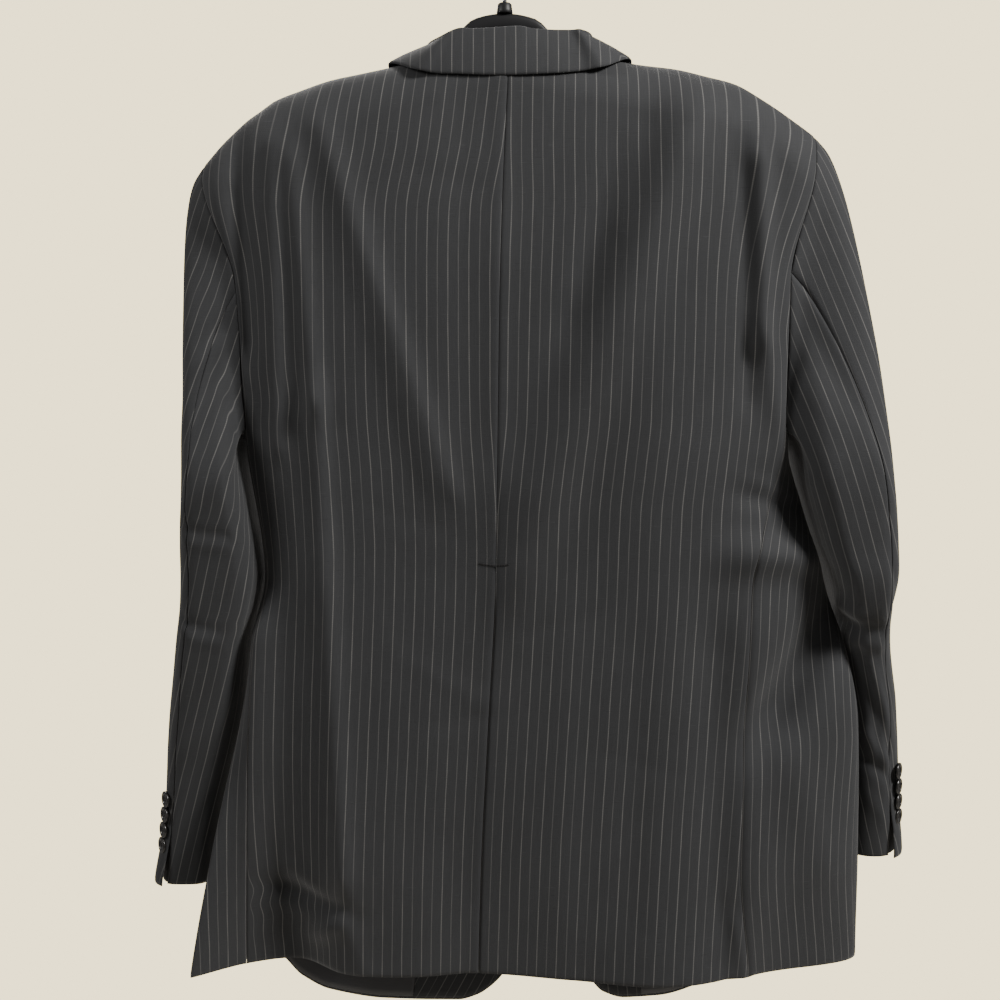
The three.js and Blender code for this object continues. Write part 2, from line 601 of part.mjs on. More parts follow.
const HIND_SEAM_ROW = 5; // row of the back armhole where the hind-arm seam starts
const FORE_SEAM_ROW = 7; // row of the front armhole where the fore-arm seam starts
const HIND_ANGLE = 68;
const FORE_ANGLE = -108;
const CORNER_ANGLE = 130; // where the armhole's lower corners sit round the sleeve
const CAP_ROWS = 7;
const ARM_ROWS = 14;

/** The armhole's ring: points, the directions in which the sleeve leaves, and the angle round the
 * sleeve that each goes to. 0 is outward, 90 is the back, 180 the body's side, -90 the front. */
function armholeRing(side) {
  const ring = [];
  const put = (s, k, angle, lift) => {
    const r = panelRow(s, k);
    const frame = bodyFrame(s, r);
    ring.push({ point: body(s, r), frame, angle, lift, s });
  };
  for (let k = 0; k <= UNDERARM_ROW; k += 1) {
    const angle = k <= HIND_SEAM_ROW
      ? mix(0, HIND_ANGLE, k / HIND_SEAM_ROW)
      : mix(HIND_ANGLE, CORNER_ANGLE, (k - HIND_SEAM_ROW) / (UNDERARM_ROW - HIND_SEAM_ROW));
    put(4 * side, k, angle, smoothstep((k - HIND_SEAM_ROW) / (UNDERARM_ROW - HIND_SEAM_ROW)));
  }
  SIDE_STATIONS.slice(1, -1).forEach((s, i) => {
    const share = (i + 1) / (SIDE_STATIONS.length - 1);
    put(s * side, UNDERARM_ROW, mix(CORNER_ANGLE, 360 - CORNER_ANGLE, share), 1);
  });
  for (let k = UNDERARM_ROW; k >= 1; k -= 1) {
    const angle = k >= FORE_SEAM_ROW
      ? mix(FORE_ANGLE, -CORNER_ANGLE, (k - FORE_SEAM_ROW) / (UNDERARM_ROW - FORE_SEAM_ROW))
      : mix(0, FORE_ANGLE, k / FORE_SEAM_ROW);
    put(7 * side, k, angle, smoothstep((k - FORE_SEAM_ROW) / (UNDERARM_ROW - FORE_SEAM_ROW)));
  }
  return ring;
}

/** How the sleeve leaves the armhole at one of the ring's points: its direction and its normal. */
function leaving(entry, side) {
  const outAcross = scaled(entry.frame.across, Math.abs(entry.s) < 5.5 ? side : -side);
  const past = outAcross.lerp(scaled(entry.frame.down, -1), entry.lift).normalize();
  const tilt = mix(0.2, 1.45, entry.lift);
  const { normal } = entry.frame;
  return {
    direction: scaled(past, Math.cos(tilt)).addScaledVector(normal, Math.sin(tilt)).normalize(),
    normal: scaled(normal, Math.cos(tilt)).addScaledVector(past, -Math.sin(tilt)).normalize(),
  };
}

function sleevePoint(sections, side, angle, z) {
  const row = sections(z);
  const turn = THREE.MathUtils.degToRad(angle);
  const power = Math.sin(turn) > 0 ? row.power : FRONT_POWER;
  const squared = (value) => Math.sign(value) * Math.abs(value) ** power;
  const x = row.x + side * row.halfX * squared(Math.cos(turn));
  return new THREE.Vector3(x, row.y + row.halfY * squared(Math.sin(turn)), z);
}

function sleeveGrid({ side, sections, cuffZ }) {
  const ring = armholeRing(side);
  const points = [];
  for (let i = 0; i <= CAP_ROWS; i += 1) {
    const t = i / CAP_ROWS;
    points.push(ring.map((entry) => {
      const { direction } = leaving(entry, side);
      const from = moved(entry.point, direction, SEAM_GAP);
      const to = sleevePoint(sections, side, entry.angle, SLEEVE_TOP_Z);
      const length = from.distanceTo(to);
      const next = sleevePoint(sections, side, entry.angle, SLEEVE_TOP_Z - TANGENT_STEP);
      const below = next.sub(to).multiplyScalar(length / TANGENT_STEP);
      const start = scaled(direction, Math.min(length * 0.75, mix(110, 30, entry.lift)));
      return new THREE.Vector3(
        hermite(from.x, start.x, to.x, below.x, t),
        hermite(from.y, start.y, to.y, below.y, t),
        hermite(from.z, start.z, to.z, below.z, t),
      );
    }));
  }
  for (let i = 1; i <= ARM_ROWS; i += 1) {
    const z = mix(SLEEVE_TOP_Z, cuffZ, i / ARM_ROWS);
    points.push(ring.map((entry) => sleevePoint(sections, side, entry.angle, z)));
  }
  const normals = gridNormals(points, true).map((row) => row.map((normal) => scaled(normal, side)));
  normals[0] = ring.map((entry) => leaving(entry, side).normal);
  return { points, normals };
}

function addSleeve(name) {
  const { points, normals } = sleeveGrid(sleeves[name]);
  const count = points[0].length;
  const foreSeam = count - FORE_SEAM_ROW;
  const piece = (columns) => {
    const pick = (rows) => rows.map((row) => columns.map((j) => row[(j + count) % count].clone()));
    const grid = insetBorders(pick(points), ['first', 'last'], SLEEVE_SEAM_GAP);
    return wallGeometry(grid, inwardSteps(pick(normals), WALL));
  };
  const upper = [];
  for (let j = foreSeam - count; j <= HIND_SEAM_ROW; j += 1) upper.push(j);
  const under = [];
  for (let j = HIND_SEAM_ROW; j <= foreSeam; j += 1) under.push(j);
  add(`sleeve_upper_${name}`, piece(upper), cloth());
  add(`sleeve_under_${name}`, piece(under), cloth());
}

// ---------------------------------------------------------------- what lies on the panels

/** A flat piece made from the body's points on some stations and heights, moved out. A height is a
 * function of the station. */
function patch({ stations, heights, out, thickness }) {
  const points = [];
  const normals = [];
  heights.forEach((height) => {
    const frames = stations.map((s) => frameAt(s, height(s)));
    points.push(stations.map((s, j) => moved(bodyAt(s, height(s)), frames[j].normal, out)));
    normals.push(frames.map((frame) => frame.normal));
  });
  return wallGeometry(points, inwardSteps(normals, thickness));
}

const spread = (from, to, steps) => Array.from({ length: steps + 1 }, (_, i) => mix(from, to, i / steps));

function addPockets() {
  const onTop = WALL + LYING_GAP;
  [['left', 1], ['right', -1]].forEach(([name, side]) => {
    const slant = (drop) => (s) => -700 - drop + 22 * (Math.abs(s) - 8);
    add(`pocket_flap_${name}`, patch({
      stations: spread(7.22 * side, 8.42 * side, 8),
      heights: [slant(0), slant(18), slant(36), slant(54)], out: onTop, thickness: WALL,
    }), cloth());
  });
  const welt = (drop) => (s) => -392 - drop + 30 * (Math.abs(s) - 8);
  add('breast_welt', patch({
    stations: spread(7.22, 7.92, 5), heights: [welt(0), welt(12), welt(24)], out: onTop, thickness: WALL,
  }), cloth());
}

/** Facing and lining of each front's lower end, made from the panel's own rows, moved in. */
function addInsides() {
  const rows = [ALL_ROWS - 3, ALL_ROWS - 2, ALL_ROWS - 1];
  const inner = (stations, side, lastRow) => {
    const points = [];
    const normals = [];
    [...rows, lastRow].forEach((k) => {
      const places = stations.map((s) => [s * side, panelRow(s * side, k)]);
      const frames = places.map(([s, r]) => bodyFrame(s, r));
      points.push(places.map(([s, r], j) => moved(body(s, r), frames[j].normal, -(WALL + SEAM_GAP))));
      normals.push(frames.map((frame) => frame.normal));
    });
    return wallGeometry(insetBorders(points, ['first', 'last']), inwardSteps(normals, LINING_WALL));
  };
  [['left', 1], ['right', -1]].forEach(([name, side]) => {
    add(`lining_${name}`, inner(FRONT_STATIONS.slice(1, 8), side, ALL_ROWS - 0.25), satin());
    add(`facing_${name}`, inner(FRONT_STATIONS.slice(7, -1), side, ALL_ROWS - 0.08), cloth());
  });
}

/** A button's profile, turned about its axis: a raised rim round a shallow dish. */
function buttonGeometry(radius, thickness) {
  const profile = [
    [0, 0], [radius * 0.82, 0], [radius, thickness * 0.35], [radius, thickness * 0.8],
    [radius * 0.9, thickness], [radius * 0.72, thickness * 0.92], [radius * 0.6, thickness * 0.6],
    [0, thickness * 0.55],
  ].map(([x, y]) => new THREE.Vector2(x, y));
  return new THREE.LatheGeometry(profile, 14);
}

function addButton(name, size, point, normal) {
  const mesh = add(name, buttonGeometry(size.radius, size.thickness), horn());
  mesh.position.copy(moved(point, normal, LAYER_GAP));
  mesh.quaternion.setFromUnitVectors(new THREE.Vector3(0, 1, 0), normal);
}

/** The station of the left front that stands at a given x and height. */
function stationAt(x, z) {
  let low = 7;
  let high = 9;
  for (let step = 0; step < 40; step += 1) {
    const middle = (low + high) / 2;
    if (sectionPoint(middle, z).x > x) low = middle;
    else high = middle;
  }
  return low;
}

function addButtons() {
  [['upper', FRONT_BUTTON.upperZ], ['lower', FRONT_BUTTON.lowerZ]].forEach(([name, z]) => {
    const s = stationAt(FRONT_BUTTON.x, z);
    addButton(`front_button_${name}`, FRONT_BUTTON, bodyAt(s, z), frameAt(s, z).normal);
  });
  ['left', 'right'].forEach((name) => {
    const { side, sections, cuffZ } = sleeves[name];
    for (let i = 0; i < CUFF_BUTTON.count; i += 1) {
      const z = cuffZ + CUFF_BUTTON.aboveCuff + CUFF_BUTTON.pitch * i * 1.08;
      const angle = HIND_ANGLE - 17;
      const point = sleevePoint(sections, side, angle, z);
      const along = sleevePoint(sections, side, angle + 4, z).sub(sleevePoint(sections, side, angle - 4, z));
      const down = sleevePoint(sections, side, angle, z - 4).sub(sleevePoint(sections, side, angle, z + 4));
      const normal = down.cross(along).normalize().multiplyScalar(side);
      addButton(`cuff_button_${name}_${i + 1}`, CUFF_BUTTON, point, normal);
    }
  });
}

// ---------------------------------------------------------------- hanger

/** A rounded tube swept along a curve, with flat ends. */
function swept(curve, halfWidth, halfHeight, sides, steps) {
  const outline = new THREE.Shape();
  for (let i = 0; i < sides; i += 1) {
    const angle = (i / sides) * Math.PI * 2;
    const x = halfWidth * Math.cos(angle);
    const y = halfHeight * Math.sin(angle);
    if (i === 0) outline.moveTo(x, y);
    else outline.lineTo(x, y);
  }
  return new THREE.ExtrudeGeometry(outline, { steps, extrudePath: curve, bevelEnabled: false });
}

/** Height of the bar's middle line: a dome in the neck, then straight under the shoulder seams. */
function barZ(x) {
  const fromMiddle = Math.abs(x - HOOK.x);
  const dome = BOSS.bottomZ - BAR.halfHeight - BAR.domeDrop * (fromMiddle / BAR.domeWidth) ** 2;
  const shoulder = ridgeZ(x) - WALL - BAR.clearance - BAR.halfHeight;
  return mix(dome, shoulder, smoothstep((fromMiddle - BAR.domeEnd) / BAR.domeWidth));
}

function addHanger() {
  const places = spread(BAR.rightTip, BAR.leftTip, 30);
  const points = places.map((x) => new THREE.Vector3(x, RIDGE_Y, barZ(x)));
  add('hanger_bar', ribbon(points, BAR.halfThickness, BAR.halfHeight, BAR.sides), plastic());

  const bossFoot = barZ(HOOK.x) + BAR.halfHeight + SEAM_GAP;
  const boss = new THREE.CylinderGeometry(BOSS.radius * 0.8, BOSS.radius, BOSS.topZ - bossFoot, 16);
  const bossMesh = add('hanger_boss', boss, plastic());
  bossMesh.rotation.x = Math.PI / 2;
  bossMesh.position.set(HOOK.x, RIDGE_Y, (BOSS.topZ + bossFoot) / 2);

  add('hanger_hook', hookGeometry(), chrome());
}

/** A closed tube of elliptical sections that all stand upright, along points in a plane of y. */
function ribbon(points, halfY, halfZ, sides) {
  const positions = [];
  points.forEach((point, i) => {
    const share = i / (points.length - 1);
    const tip = Math.min(1, Math.min(share, 1 - share) * 12 + 0.45);
    for (let j = 0; j < sides; j += 1) {
      const angle = (j / sides) * Math.PI * 2;
      positions.push(point.x, point.y + halfY * tip * Math.cos(angle), point.z + halfZ * Math.sin(angle));
    }
  });
  const ends = [0, points.length - 1].map((i) => {
    positions.push(points[i].x, points[i].y, points[i].z);
    return positions.length / 3 - 1;
  });
  const indices = [];
  const at = (i, j) => i * sides + (j % sides);
  for (let j = 0; j < sides; j += 1) {
    for (let i = 0; i < points.length - 1; i += 1) {
      indices.push(at(i, j), at(i + 1, j), at(i + 1, j + 1), at(i, j), at(i + 1, j + 1), at(i, j + 1));
    }
    indices.push(ends[0], at(0, j), at(0, j + 1));
    indices.push(ends[1], at(points.length - 1, j + 1), at(points.length - 1, j));
  }
  const geometry = new THREE.BufferGeometry();
  geometry.setAttribute('position', new THREE.Float32BufferAttribute(positions, 3));
  geometry.setIndex(indices);
  return facingOut(geometry);
}

function hookGeometry() {
  const radius = HOOK.innerRadius + HOOK.wire / 2;
  const centreZ = -HOOK.innerRadius;
  const points = [];
  for (let degrees = HOOK.tipAngle; degrees <= HOOK.neckAngle; degrees += 15) {
    const angle = THREE.MathUtils.degToRad(degrees);
    const x = HOOK.x + radius * Math.cos(angle);
    points.push(new THREE.Vector3(x, RIDGE_Y, centreZ + radius * Math.sin(angle)));
  }
  const stemTop = points[points.length - 1];
  points.push(new THREE.Vector3(HOOK.x - 3, RIDGE_Y, stemTop.z - 6));
  points.push(new THREE.Vector3(HOOK.x, RIDGE_Y, stemTop.z - 14));
  points.push(new THREE.Vector3(HOOK.x, RIDGE_Y, BOSS.topZ + SEAM_GAP));
  const curve = new THREE.CatmullRomCurve3(points, false, 'centripetal');
  return swept(curve, HOOK.wire / 2, HOOK.wire / 2, HOOK.sides, 44);
}

// ---------------------------------------------------------------- the blazer

addBackLeft();
addBackRight();
addPanels('left', 1);
addPanels('right', -1);
addCollar();
addLapel('left', 1);
addLapel('right', -1);
addSleeve('left');
addSleeve('right');
addPockets();
addInsides();
addButtons();
addHanger();

export default garment;
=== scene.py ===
"""Builds the looks of a pinstriped two-button blazer on its hanger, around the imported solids.

Shapes are worked out in millimetres from the garment's own centre line, with +Z up, the back at +Y
and the wearer's left at +X. TO_FRAME moves them so that the hook's inner crown is the origin, in metres.
"""

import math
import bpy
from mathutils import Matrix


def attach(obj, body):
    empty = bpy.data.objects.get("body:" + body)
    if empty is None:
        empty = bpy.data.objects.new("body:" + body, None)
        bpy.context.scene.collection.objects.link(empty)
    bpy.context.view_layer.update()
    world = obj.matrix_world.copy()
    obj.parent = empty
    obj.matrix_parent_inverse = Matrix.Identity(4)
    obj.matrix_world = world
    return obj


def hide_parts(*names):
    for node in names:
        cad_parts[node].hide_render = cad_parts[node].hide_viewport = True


bl_info = {
    "name": "Pinstriped blazer",
    "version": (1, 0, 0),
    "blender": (4, 5, 0),
    "location": "3D View > Sidebar > Blazer",
    "description": "Builds a pinstriped two-button blazer on a hanger as fine cloth walls",
    "category": "Add Mesh",
}

import bmesh
import bpy
import numpy as np

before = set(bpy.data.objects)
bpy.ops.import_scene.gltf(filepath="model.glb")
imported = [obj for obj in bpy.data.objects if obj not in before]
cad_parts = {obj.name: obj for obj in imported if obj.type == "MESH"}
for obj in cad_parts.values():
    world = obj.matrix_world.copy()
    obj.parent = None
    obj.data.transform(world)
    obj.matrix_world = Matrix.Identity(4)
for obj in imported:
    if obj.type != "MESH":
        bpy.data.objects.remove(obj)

# ---------------------------------------------------------------- sizes, in millimetres

SIDES = {"left": 1, "right": -1}

WALL = 2.0  # cloth, canvas and lining together
LINING_WALL = 1.0
ALLOWANCE_WALL = 0.6  # edges turned in behind a seam
EDGE_ROLL = 0.35  # how far a wall's cut edges are rolled in

SEAM_GAP = 0.2
SLEEVE_SEAM_GAP = 0.4
EDGE_GAP = 0.8  # between a panel's edge and a collar or lapel that rises off it
LAYER_GAP = 0.4  # under a button
LYING_GAP = 1.1  # under a flap, a welt, a lapel or a collar's fall
LINING_GAP = 0.36
ALLOWANCE_GAP = 0.15

SIDE_SEAM, FRONT_SEAM = 4, 7  # stations round the body from the centre of the back
SHOULDER_ROUND = 50  # radius of the quarter turn over the shoulder
RIDGE_Y = 2
UNDERARM_Z = -440
UNDERARM_RISE = 12
ROW_UNIT = 100
NECK_STATION = 2
NECK_DROP = 30
HEM_Z = -930
VENT_TOP_Z = -544
UNDERLAP_STATION = 0.5
UNDERLAP_DEPTH = WALL + 0.8
TURN_UP = 38  # depth of the cloth turned up inside hem and cuffs
LINING_ENDS, FACING_ENDS = (7.12, 8.25), (8.25, 8.95)  # stations, behind each front
INSIDE_SHORT = 0.08  # rows by which lining and facing end above the hem

FRONT_BUTTON = {"radius": 10, "thickness": 4.2, "x": -36, "z": (-602, -714)}
CUFF_BUTTON = {"radius": 7.5, "thickness": 3.2, "count": 4, "pitch": 15.3, "above_cuff": 38}

HOOK = {"wire": 3.6, "inner_radius": 19, "x": -4, "tip_angle": -35, "neck_angle": 235}
BOSS = {"radius": 7, "top_z": -64, "bottom_z": -73}
BAR = {
    "half_thickness": 5, "half_height": 7.5, "left_tip": 206, "right_tip": -222, "clearance": 1.9,
    "dome_drop": 9, "dome_width": 37, "dome_end": 26,
}

TO_FRAME = np.array([-HOOK["x"], -RIDGE_Y, 0.0])
MILLIMETRE = 0.001

# ---------------------------------------------------------------- tables


def mix(start, end, share):
    """The point a share of the way from start to end."""
    return start + (end - start) * share


def hermite(start, start_slope, end, end_slope, t):
    """The cubic that leaves start with start_slope and reaches end with end_slope as t goes 0 to 1."""
    t2, t3 = t * t, t * t * t
    return (
        (2 * t3 - 3 * t2 + 1) * start + (t3 - 2 * t2 + t) * start_slope
        + (3 * t2 - 2 * t3) * end + (t3 - t2) * end_slope
    )


def smoothstep(t):
    """3t^2 - 2t^3 with t held between 0 and 1."""
    t = np.clip(t, 0.0, 1.0)
    return t * t * (3 - 2 * t)


def running(steps, axis=1):
    """Running totals of steps along an axis, from zero."""
    return np.insert(np.cumsum(steps, axis=axis), 0, 0, axis=axis)


def run_along(points, axis):
    """Distance run over a grid of points along an axis, from its first row or column."""
    return running(np.linalg.norm(np.diff(points, axis=axis), axis=-1), axis)


def unit(vectors):
    """Vectors scaled to length one."""
    return vectors / np.maximum(np.linalg.norm(vectors, axis=-1, keepdims=True), 1e-9)


def smooth_table(rows):
    """Returns a function that reads the columns after the first at any value of the first.

    Between rows it is a cubic whose slope at a row is the harmonic mean of the slopes on both sides,
    or zero where they turn, so no column overshoots. Past the ends it goes straight on.
    """
    table = np.array(rows, float)
    if table[0, 0] > table[-1, 0]:
        table = table[::-1]
    keys, values = table[:, 0], table[:, 1:]
    spans = np.diff(keys)
    steps = np.diff(values, axis=0) / spans[:, None]
    slopes = np.empty_like(values)
    slopes[0], slopes[-1] = steps[0], steps[-1]
    before, after = steps[:-1], steps[1:]
    same_way = before * after > 0
    slopes[1:-1] = np.where(same_way, 2 * before * after / np.where(same_way, before + after, 1), 0)

    def read(key):
        key = np.asarray(key, float)
        at = np.clip(np.searchsorted(keys, key, side="right") - 1, 0, len(spans) - 1)
        span = spans[at][..., None]
        t = (key[..., None] - keys[at][..., None]) / span
        inside = hermite(
            values[at], slopes[at] * span, values[at + 1], slopes[at + 1] * span, np.clip(t, 0, 1)
        )
        return inside + span * (slopes[at] * np.minimum(t, 0) + slopes[at + 1] * np.maximum(t - 1, 0))

    return read


# Shoulder line: x, z
ridge_left = smooth_table([
    (-8, -88), (30, -98), (62, -111), (92, -118), (121, -124), (145, -129), (172, -138),
    (193, -146), (206, -155), (218, -163), (237, -180), (253, -197), (262, -207), (280, -230),
])
ridge_right = smooth_table([
    (8, -88), (40, -98), (80, -109), (118, -116), (151, -120), (177, -126), (201, -132),
    (227, -146), (253, -163), (279, -182), (293, -199), (301, -214), (315, -240),
])

# Body sections: z, then x and y of mid, blade, fold, seam, edge, turn, front seam, chest, front edge.
STATIONS = 9
centre_back = smooth_table([
    (-110, -8, 45), (-210, -3, 52), (-300, 0, 56), (-440, 2, 52), (-560, 4, 47),
    (-700, 11, 44), (-820, 17, 40), (-930, 20, 35), (-990, 21, 33),
])
left_sections = smooth_table([
    (-110, 30, 44, 62, 42, 160, 36, 260, 30, 266, 12, 264, -15, 260, -30, 160, -40, 62, -36),
    (-210, 52, 54, 112, 54, 190, 47, 257, 32, 266, 12, 266, -16, 257, -40, 150, -58, 39, -52),
    (-300, 62, 57, 126, 57, 186, 48, 229, 36, 236, 12, 236, -14, 223, -44, 135, -70, 18, -64),
    (-440, 70, 52, 130, 53, 185, 46, 222, 28, 226, 6, 224, -14, 214, -38, 118, -72, -15, -70),
    (-560, 70, 46, 128, 48, 180, 43, 208, 24, 212, 4, 210, -14, 196, -36, 100, -66, -44, -67),
    (-620, 72, 45, 130, 48, 182, 42, 219, 38, 222, 12, 214, -14, 196, -34, 98, -60, -54, -61),
    (-700, 75, 45, 133, 47, 186, 38, 225, 38, 236, 22, 226, -8, 200, -30, 98, -50, -56, -51),
    (-820, 77, 44, 138, 45, 187, 24, 231, 29, 262, 36, 244, 0, 206, -26, 104, -33, -46, -34),
    (-930, 78, 43, 142, 37, 188, 4, 236, 15, 283, 42, 262, 8, 214, -18, 108, -15, -14, -15),
    (-990, 78, 43, 142, 36, 188, 2, 237, 13, 290, 44, 266, 10, 216, -16, 108, -12, 16, -12),
])
right_sections = smooth_table([
    (-110, -45, 44, -80, 42, -180, 36, -277, 30, -285, 12, -284, -18, -277, -34, -185, -42, -80, -36),
    (-210, -62, 54, -128, 55, -205, 47, -270, 32, -284, 10, -284, -20, -270, -44, -172, -60, -60, -50),
    (-300, -68, 57, -138, 59, -205, 49, -250, 36, -262, 10, -260, -18, -240, -48, -155, -70, -50, -60),
    (-440, -72, 52, -142, 56, -205, 47, -250, 28, -256, 4, -254, -18, -240, -42, -140, -68, -33, -60),
    (-500, -72, 49, -141, 53, -197, 47, -236, 36, -272, 2, -266, -19, -243, -41, -138, -64, -25, -57),
    (-560, -72, 47, -140, 51, -188, 47, -222, 42, -291, 0, -282, -20, -246, -40, -135, -58, -18, -53),
    (-620, -72, 46, -140, 50, -184, 48, -220, 44, -312, 2, -300, -22, -254, -40, -132, -53, -14, -47),
    (-700, -72, 46, -142, 50, -184, 50, -218, 46, -328, 0, -314, -26, -262, -40, -132, -46, -14, -40),
    (-820, -70, 46, -144, 54, -186, 52, -216, 46, -333, -8, -320, -31, -274, -40, -134, -32, -38, -28),
    (-930, -62, 47, -145, 61, -190, 55, -227, 37, -336, -14, -326, -34, -286, -38, -150, -16, -80, -12),
    (-990, -62, 47, -145, 62, -190, 56, -229, 36, -337, -15, -327, -34, -288, -36, -150, -14, -88, -11),
])

# Lower edge: station, z
hem_left = smooth_table([
    (0, -929), (5, -930), (6, -931), (7, -934), (7.25, -958), (7.5, -971), (8, -977),
    (8.7, -978), (8.86, -973), (8.96, -962), (9, -950),
])
hem_right = smooth_table([
    (0, -930), (5, -930), (6, -930), (7, -932), (7.4, -945), (7.7, -966), (8, -975),
    (8.5, -976), (8.8, -970), (8.94, -960), (9, -950),
])

# Main folds of the back, the solids' own: from x, z to x, z, width, depth (positive stands out).
MAIN_FOLDS = [
    (-162, -172, -25, -470, 30, 9),
    (150, -178, 58, -460, 16, 5),
    (175, -200, 158, -402, 10, 4),
    (158, -402, 141, -830, 11, 4),
    (-217, -200, -223, -345, 11, 6),
    (-223, -345, -250, -440, 12, 4),
    (158, -570, 164, -830, 26, 6),
    (-224, -620, -222, -900, 26, 5),
    (224, -180, 216, -350, 10, -8),
    (191, -190, 192, -440, 9, 4),
    (196, -855, 150, -866, 11, -7),
    (147, -877, 162, -890, 10, 5),
    (-266, -500, -225, -489, 10, -5),
    (-224, -542, -285, -542, 18, 7),
    (-302, -590, -250, -680, 26, -14),
]

# Finer creases of the back and sides, in the same columns.
BACK_CREASES = [
    (-150, -200, -24, -541, 24, 9.0),
    (-122, -176, -62, -330, 15, -4.0),
    (-96, -190, -72, -285, 12, -1.8),
    (-112, -195, -100, -250, 9, 1.2),
    (-60, -330, -14, -430, 16, -2.0),
    (148, -180, 40, -480, 8, 2.0),
    (176, -205, 158, -400, 8, 2.6),
    (157, -410, 141, -830, 9, 2.8),
    (192, -190, 193, -440, 6, 1.4),
    (228, -230, 214, -420, 6, -2.0),
    (-222, -205, -227, -350, 7, 2.6),
    (-206, -215, -214, -400, 8, -2.4),
    (-1, -135, 3, -430, 9, 1.6),
    (34, -160, 28, -420, 14, -1.2),
    (116, -640, 112, -900, 16, -1.6),
    (60, -600, 66, -880, 18, 1.4),
    (194, -570, 212, -880, 16, -1.5),
    (222, -600, 228, -800, 10, 1.6),
    (206, -820, 196, -900, 9, -1.6),
    (187, -832, 176, -842, 8, 2.4),
    (142, -876, 128, -914, 8, 1.8),
    (-190, -630, -198, -905, 20, -5.5),
    (-150, -600, -140, -880, 24, 1.6),
    (-120, -640, -116, -860, 16, -1.2),
    (-60, -600, -55, -860, 16, 1.2),
    (-214, -880, -224, -930, 6, 1.8),
    (-200, -860, -206, -930, 7, -1.6),
    (-236, -470, -300, -500, 10, -1.8),
    (-236, -536, -296, -548, 16, 6.0),
    (-300, -600, -246, -676, 22, -9.0),
    (-262, -728, -296, -821, 16, 2.6),
    (-236, -740, -262, -860, 14, -1.6),
    (66, -212, 26, -222, 9, -0.5),
    (100, -500, 60, -512, 9, -0.5),
    (-30, -606, -76, -594, 9, -0.5),
    (48, -690, 4, -682, 9, -0.6),
    (70, -640, 20, -668, 10, 0.8),
    (-100, -720, -146, -732, 9, -0.5),
]

# Cut at the centre back: z, and how far a stripe has moved away from the seam there, left and right.
grain_shift = smooth_table([
    (-110, -10.2, -5.4), (-185, -5.0, -2.5), (-245, 2.6, 0.6), (-330, 1.6, 0.3), (-415, 0, 0),
    (-466, -3.5, -3.6), (-505, -6.2, -6.8), (-540, -7.4, -7.4), (-990, -7.4, -7.4),
])
FIRST_STRIPE = {1: 6.4, -1: 7.5}
# How far the back's grain leans out at the armhole, and where that starts and over what width.
GRAIN_LEAN = {1: (26, 150, 110), -1: (34, 160, 120)}

# Sleeve sections: z, centre x and y, half width across the body and from front to back, and the power
# of sine and cosine that shapes the back half: 1 is an ellipse and less is squarer.
FRONT_POWER = 0.9
SLEEVE_TOP_Z = -480
SLEEVES = {
    "left": {
        "side": 1,
        "cuff_z": -858,
        "sections": smooth_table([
            (-480, 252.4, -16, 27.4, 80, 0.5), (-560, 250.7, -24, 35.7, 74, 0.5),
            (-622, 261.2, -32, 33.2, 73, 0.55), (-700, 272, -44, 35, 70, 0.6),
            (-780, 284.4, -54, 31.4, 66, 0.6), (-858, 295.7, -58, 29.7, 61, 0.6),
        ]),
        "lean": smooth_table([(-140, 0.38), (-400, 0.34), (-560, 0.26), (-700, 0.28), (-860, 0.26)]),
    },
    "right": {
        "side": -1,
        "cuff_z": -836,
        "sections": smooth_table([
            (-480, -308.5, -14, 39.5, 74, 0.5), (-520, -317, -18, 36, 74, 0.5),
            (-565, -327.1, -24, 29.1, 76, 0.55), (-600, -332.5, -38, 24.5, 74, 0.7),
            (-640, -338.1, -54, 27.1, 70, 0.86), (-700, -347.8, -60, 27.8, 66, 0.9),
            (-757, -350.7, -64, 30.7, 64, 0.9), (-836, -353.2, -70, 34.2, 60, 0.9),
        ]),
        "lean": smooth_table([(-140, 0.49), (-300, 0.42), (-480, 0.33), (-640, 0.26), (-840, 0.25)]),
    },
}
TANGENT_STEP = 5

# Sleeve creases: from angle, z to angle, z, width, depth. Angle 0 faces outward and 90 the back.
SLEEVE_CREASES = {
    "left": [
        (118, -300, 60, -345, 9, -1.8), (112, -330, 58, -372, 9, 1.6), (120, -395, 80, -440, 10, -2.0),
        (122, -450, 62, -500, 12, 1.8), (100, -520, 66, -512, 5, -1.6), (96, -530, 64, -524, 5, 1.0),
        (92, -606, 58, -596, 5, -1.8), (96, -617, 60, -607, 6, 1.2), (120, -560, 84, -600, 12, -1.6),
        (118, -680, 80, -720, 14, 1.4), (60, -300, 40, -420, 14, 1.2), (70, -640, 52, -760, 12, 1.0),
        (108, -770, 84, -812, 10, -1.0), (-60, -520, -110, -560, 14, -2.0), (-50, -600, -105, -590, 12, 1.6),
    ],
    "right": [
        (116, -240, 66, -212, 7, -2.0), (118, -256, 64, -228, 7, 1.8), (122, -290, 68, -262, 8, -2.2),
        (124, -308, 66, -280, 8, 1.8), (126, -332, 84, -312, 8, -1.6), (100, -400, 64, -470, 16, 1.2),
        (150, -588, 118, -592, 9, 4.0), (152, -604, 84, -610, 9, -3.6), (120, -620, 84, -624, 8, 2.2),
        (110, -640, 92, -720, 9, -2.4), (96, -640, 78, -700, 8, 2.2), (84, -700, 60, -755, 9, -2.6),
        (108, -715, 78, -738, 8, 2.2), (112, -738, 80, -752, 7, -2.4), (104, -775, 76, -800, 9, 1.2),
        (60, -560, 30, -610, 12, -2.2), (-60, -560, -120, -590, 14, -2.4), (-60, -610, -110, -620, 12, 2.0),
    ],
}

# ---------------------------------------------------------------- the body's surface


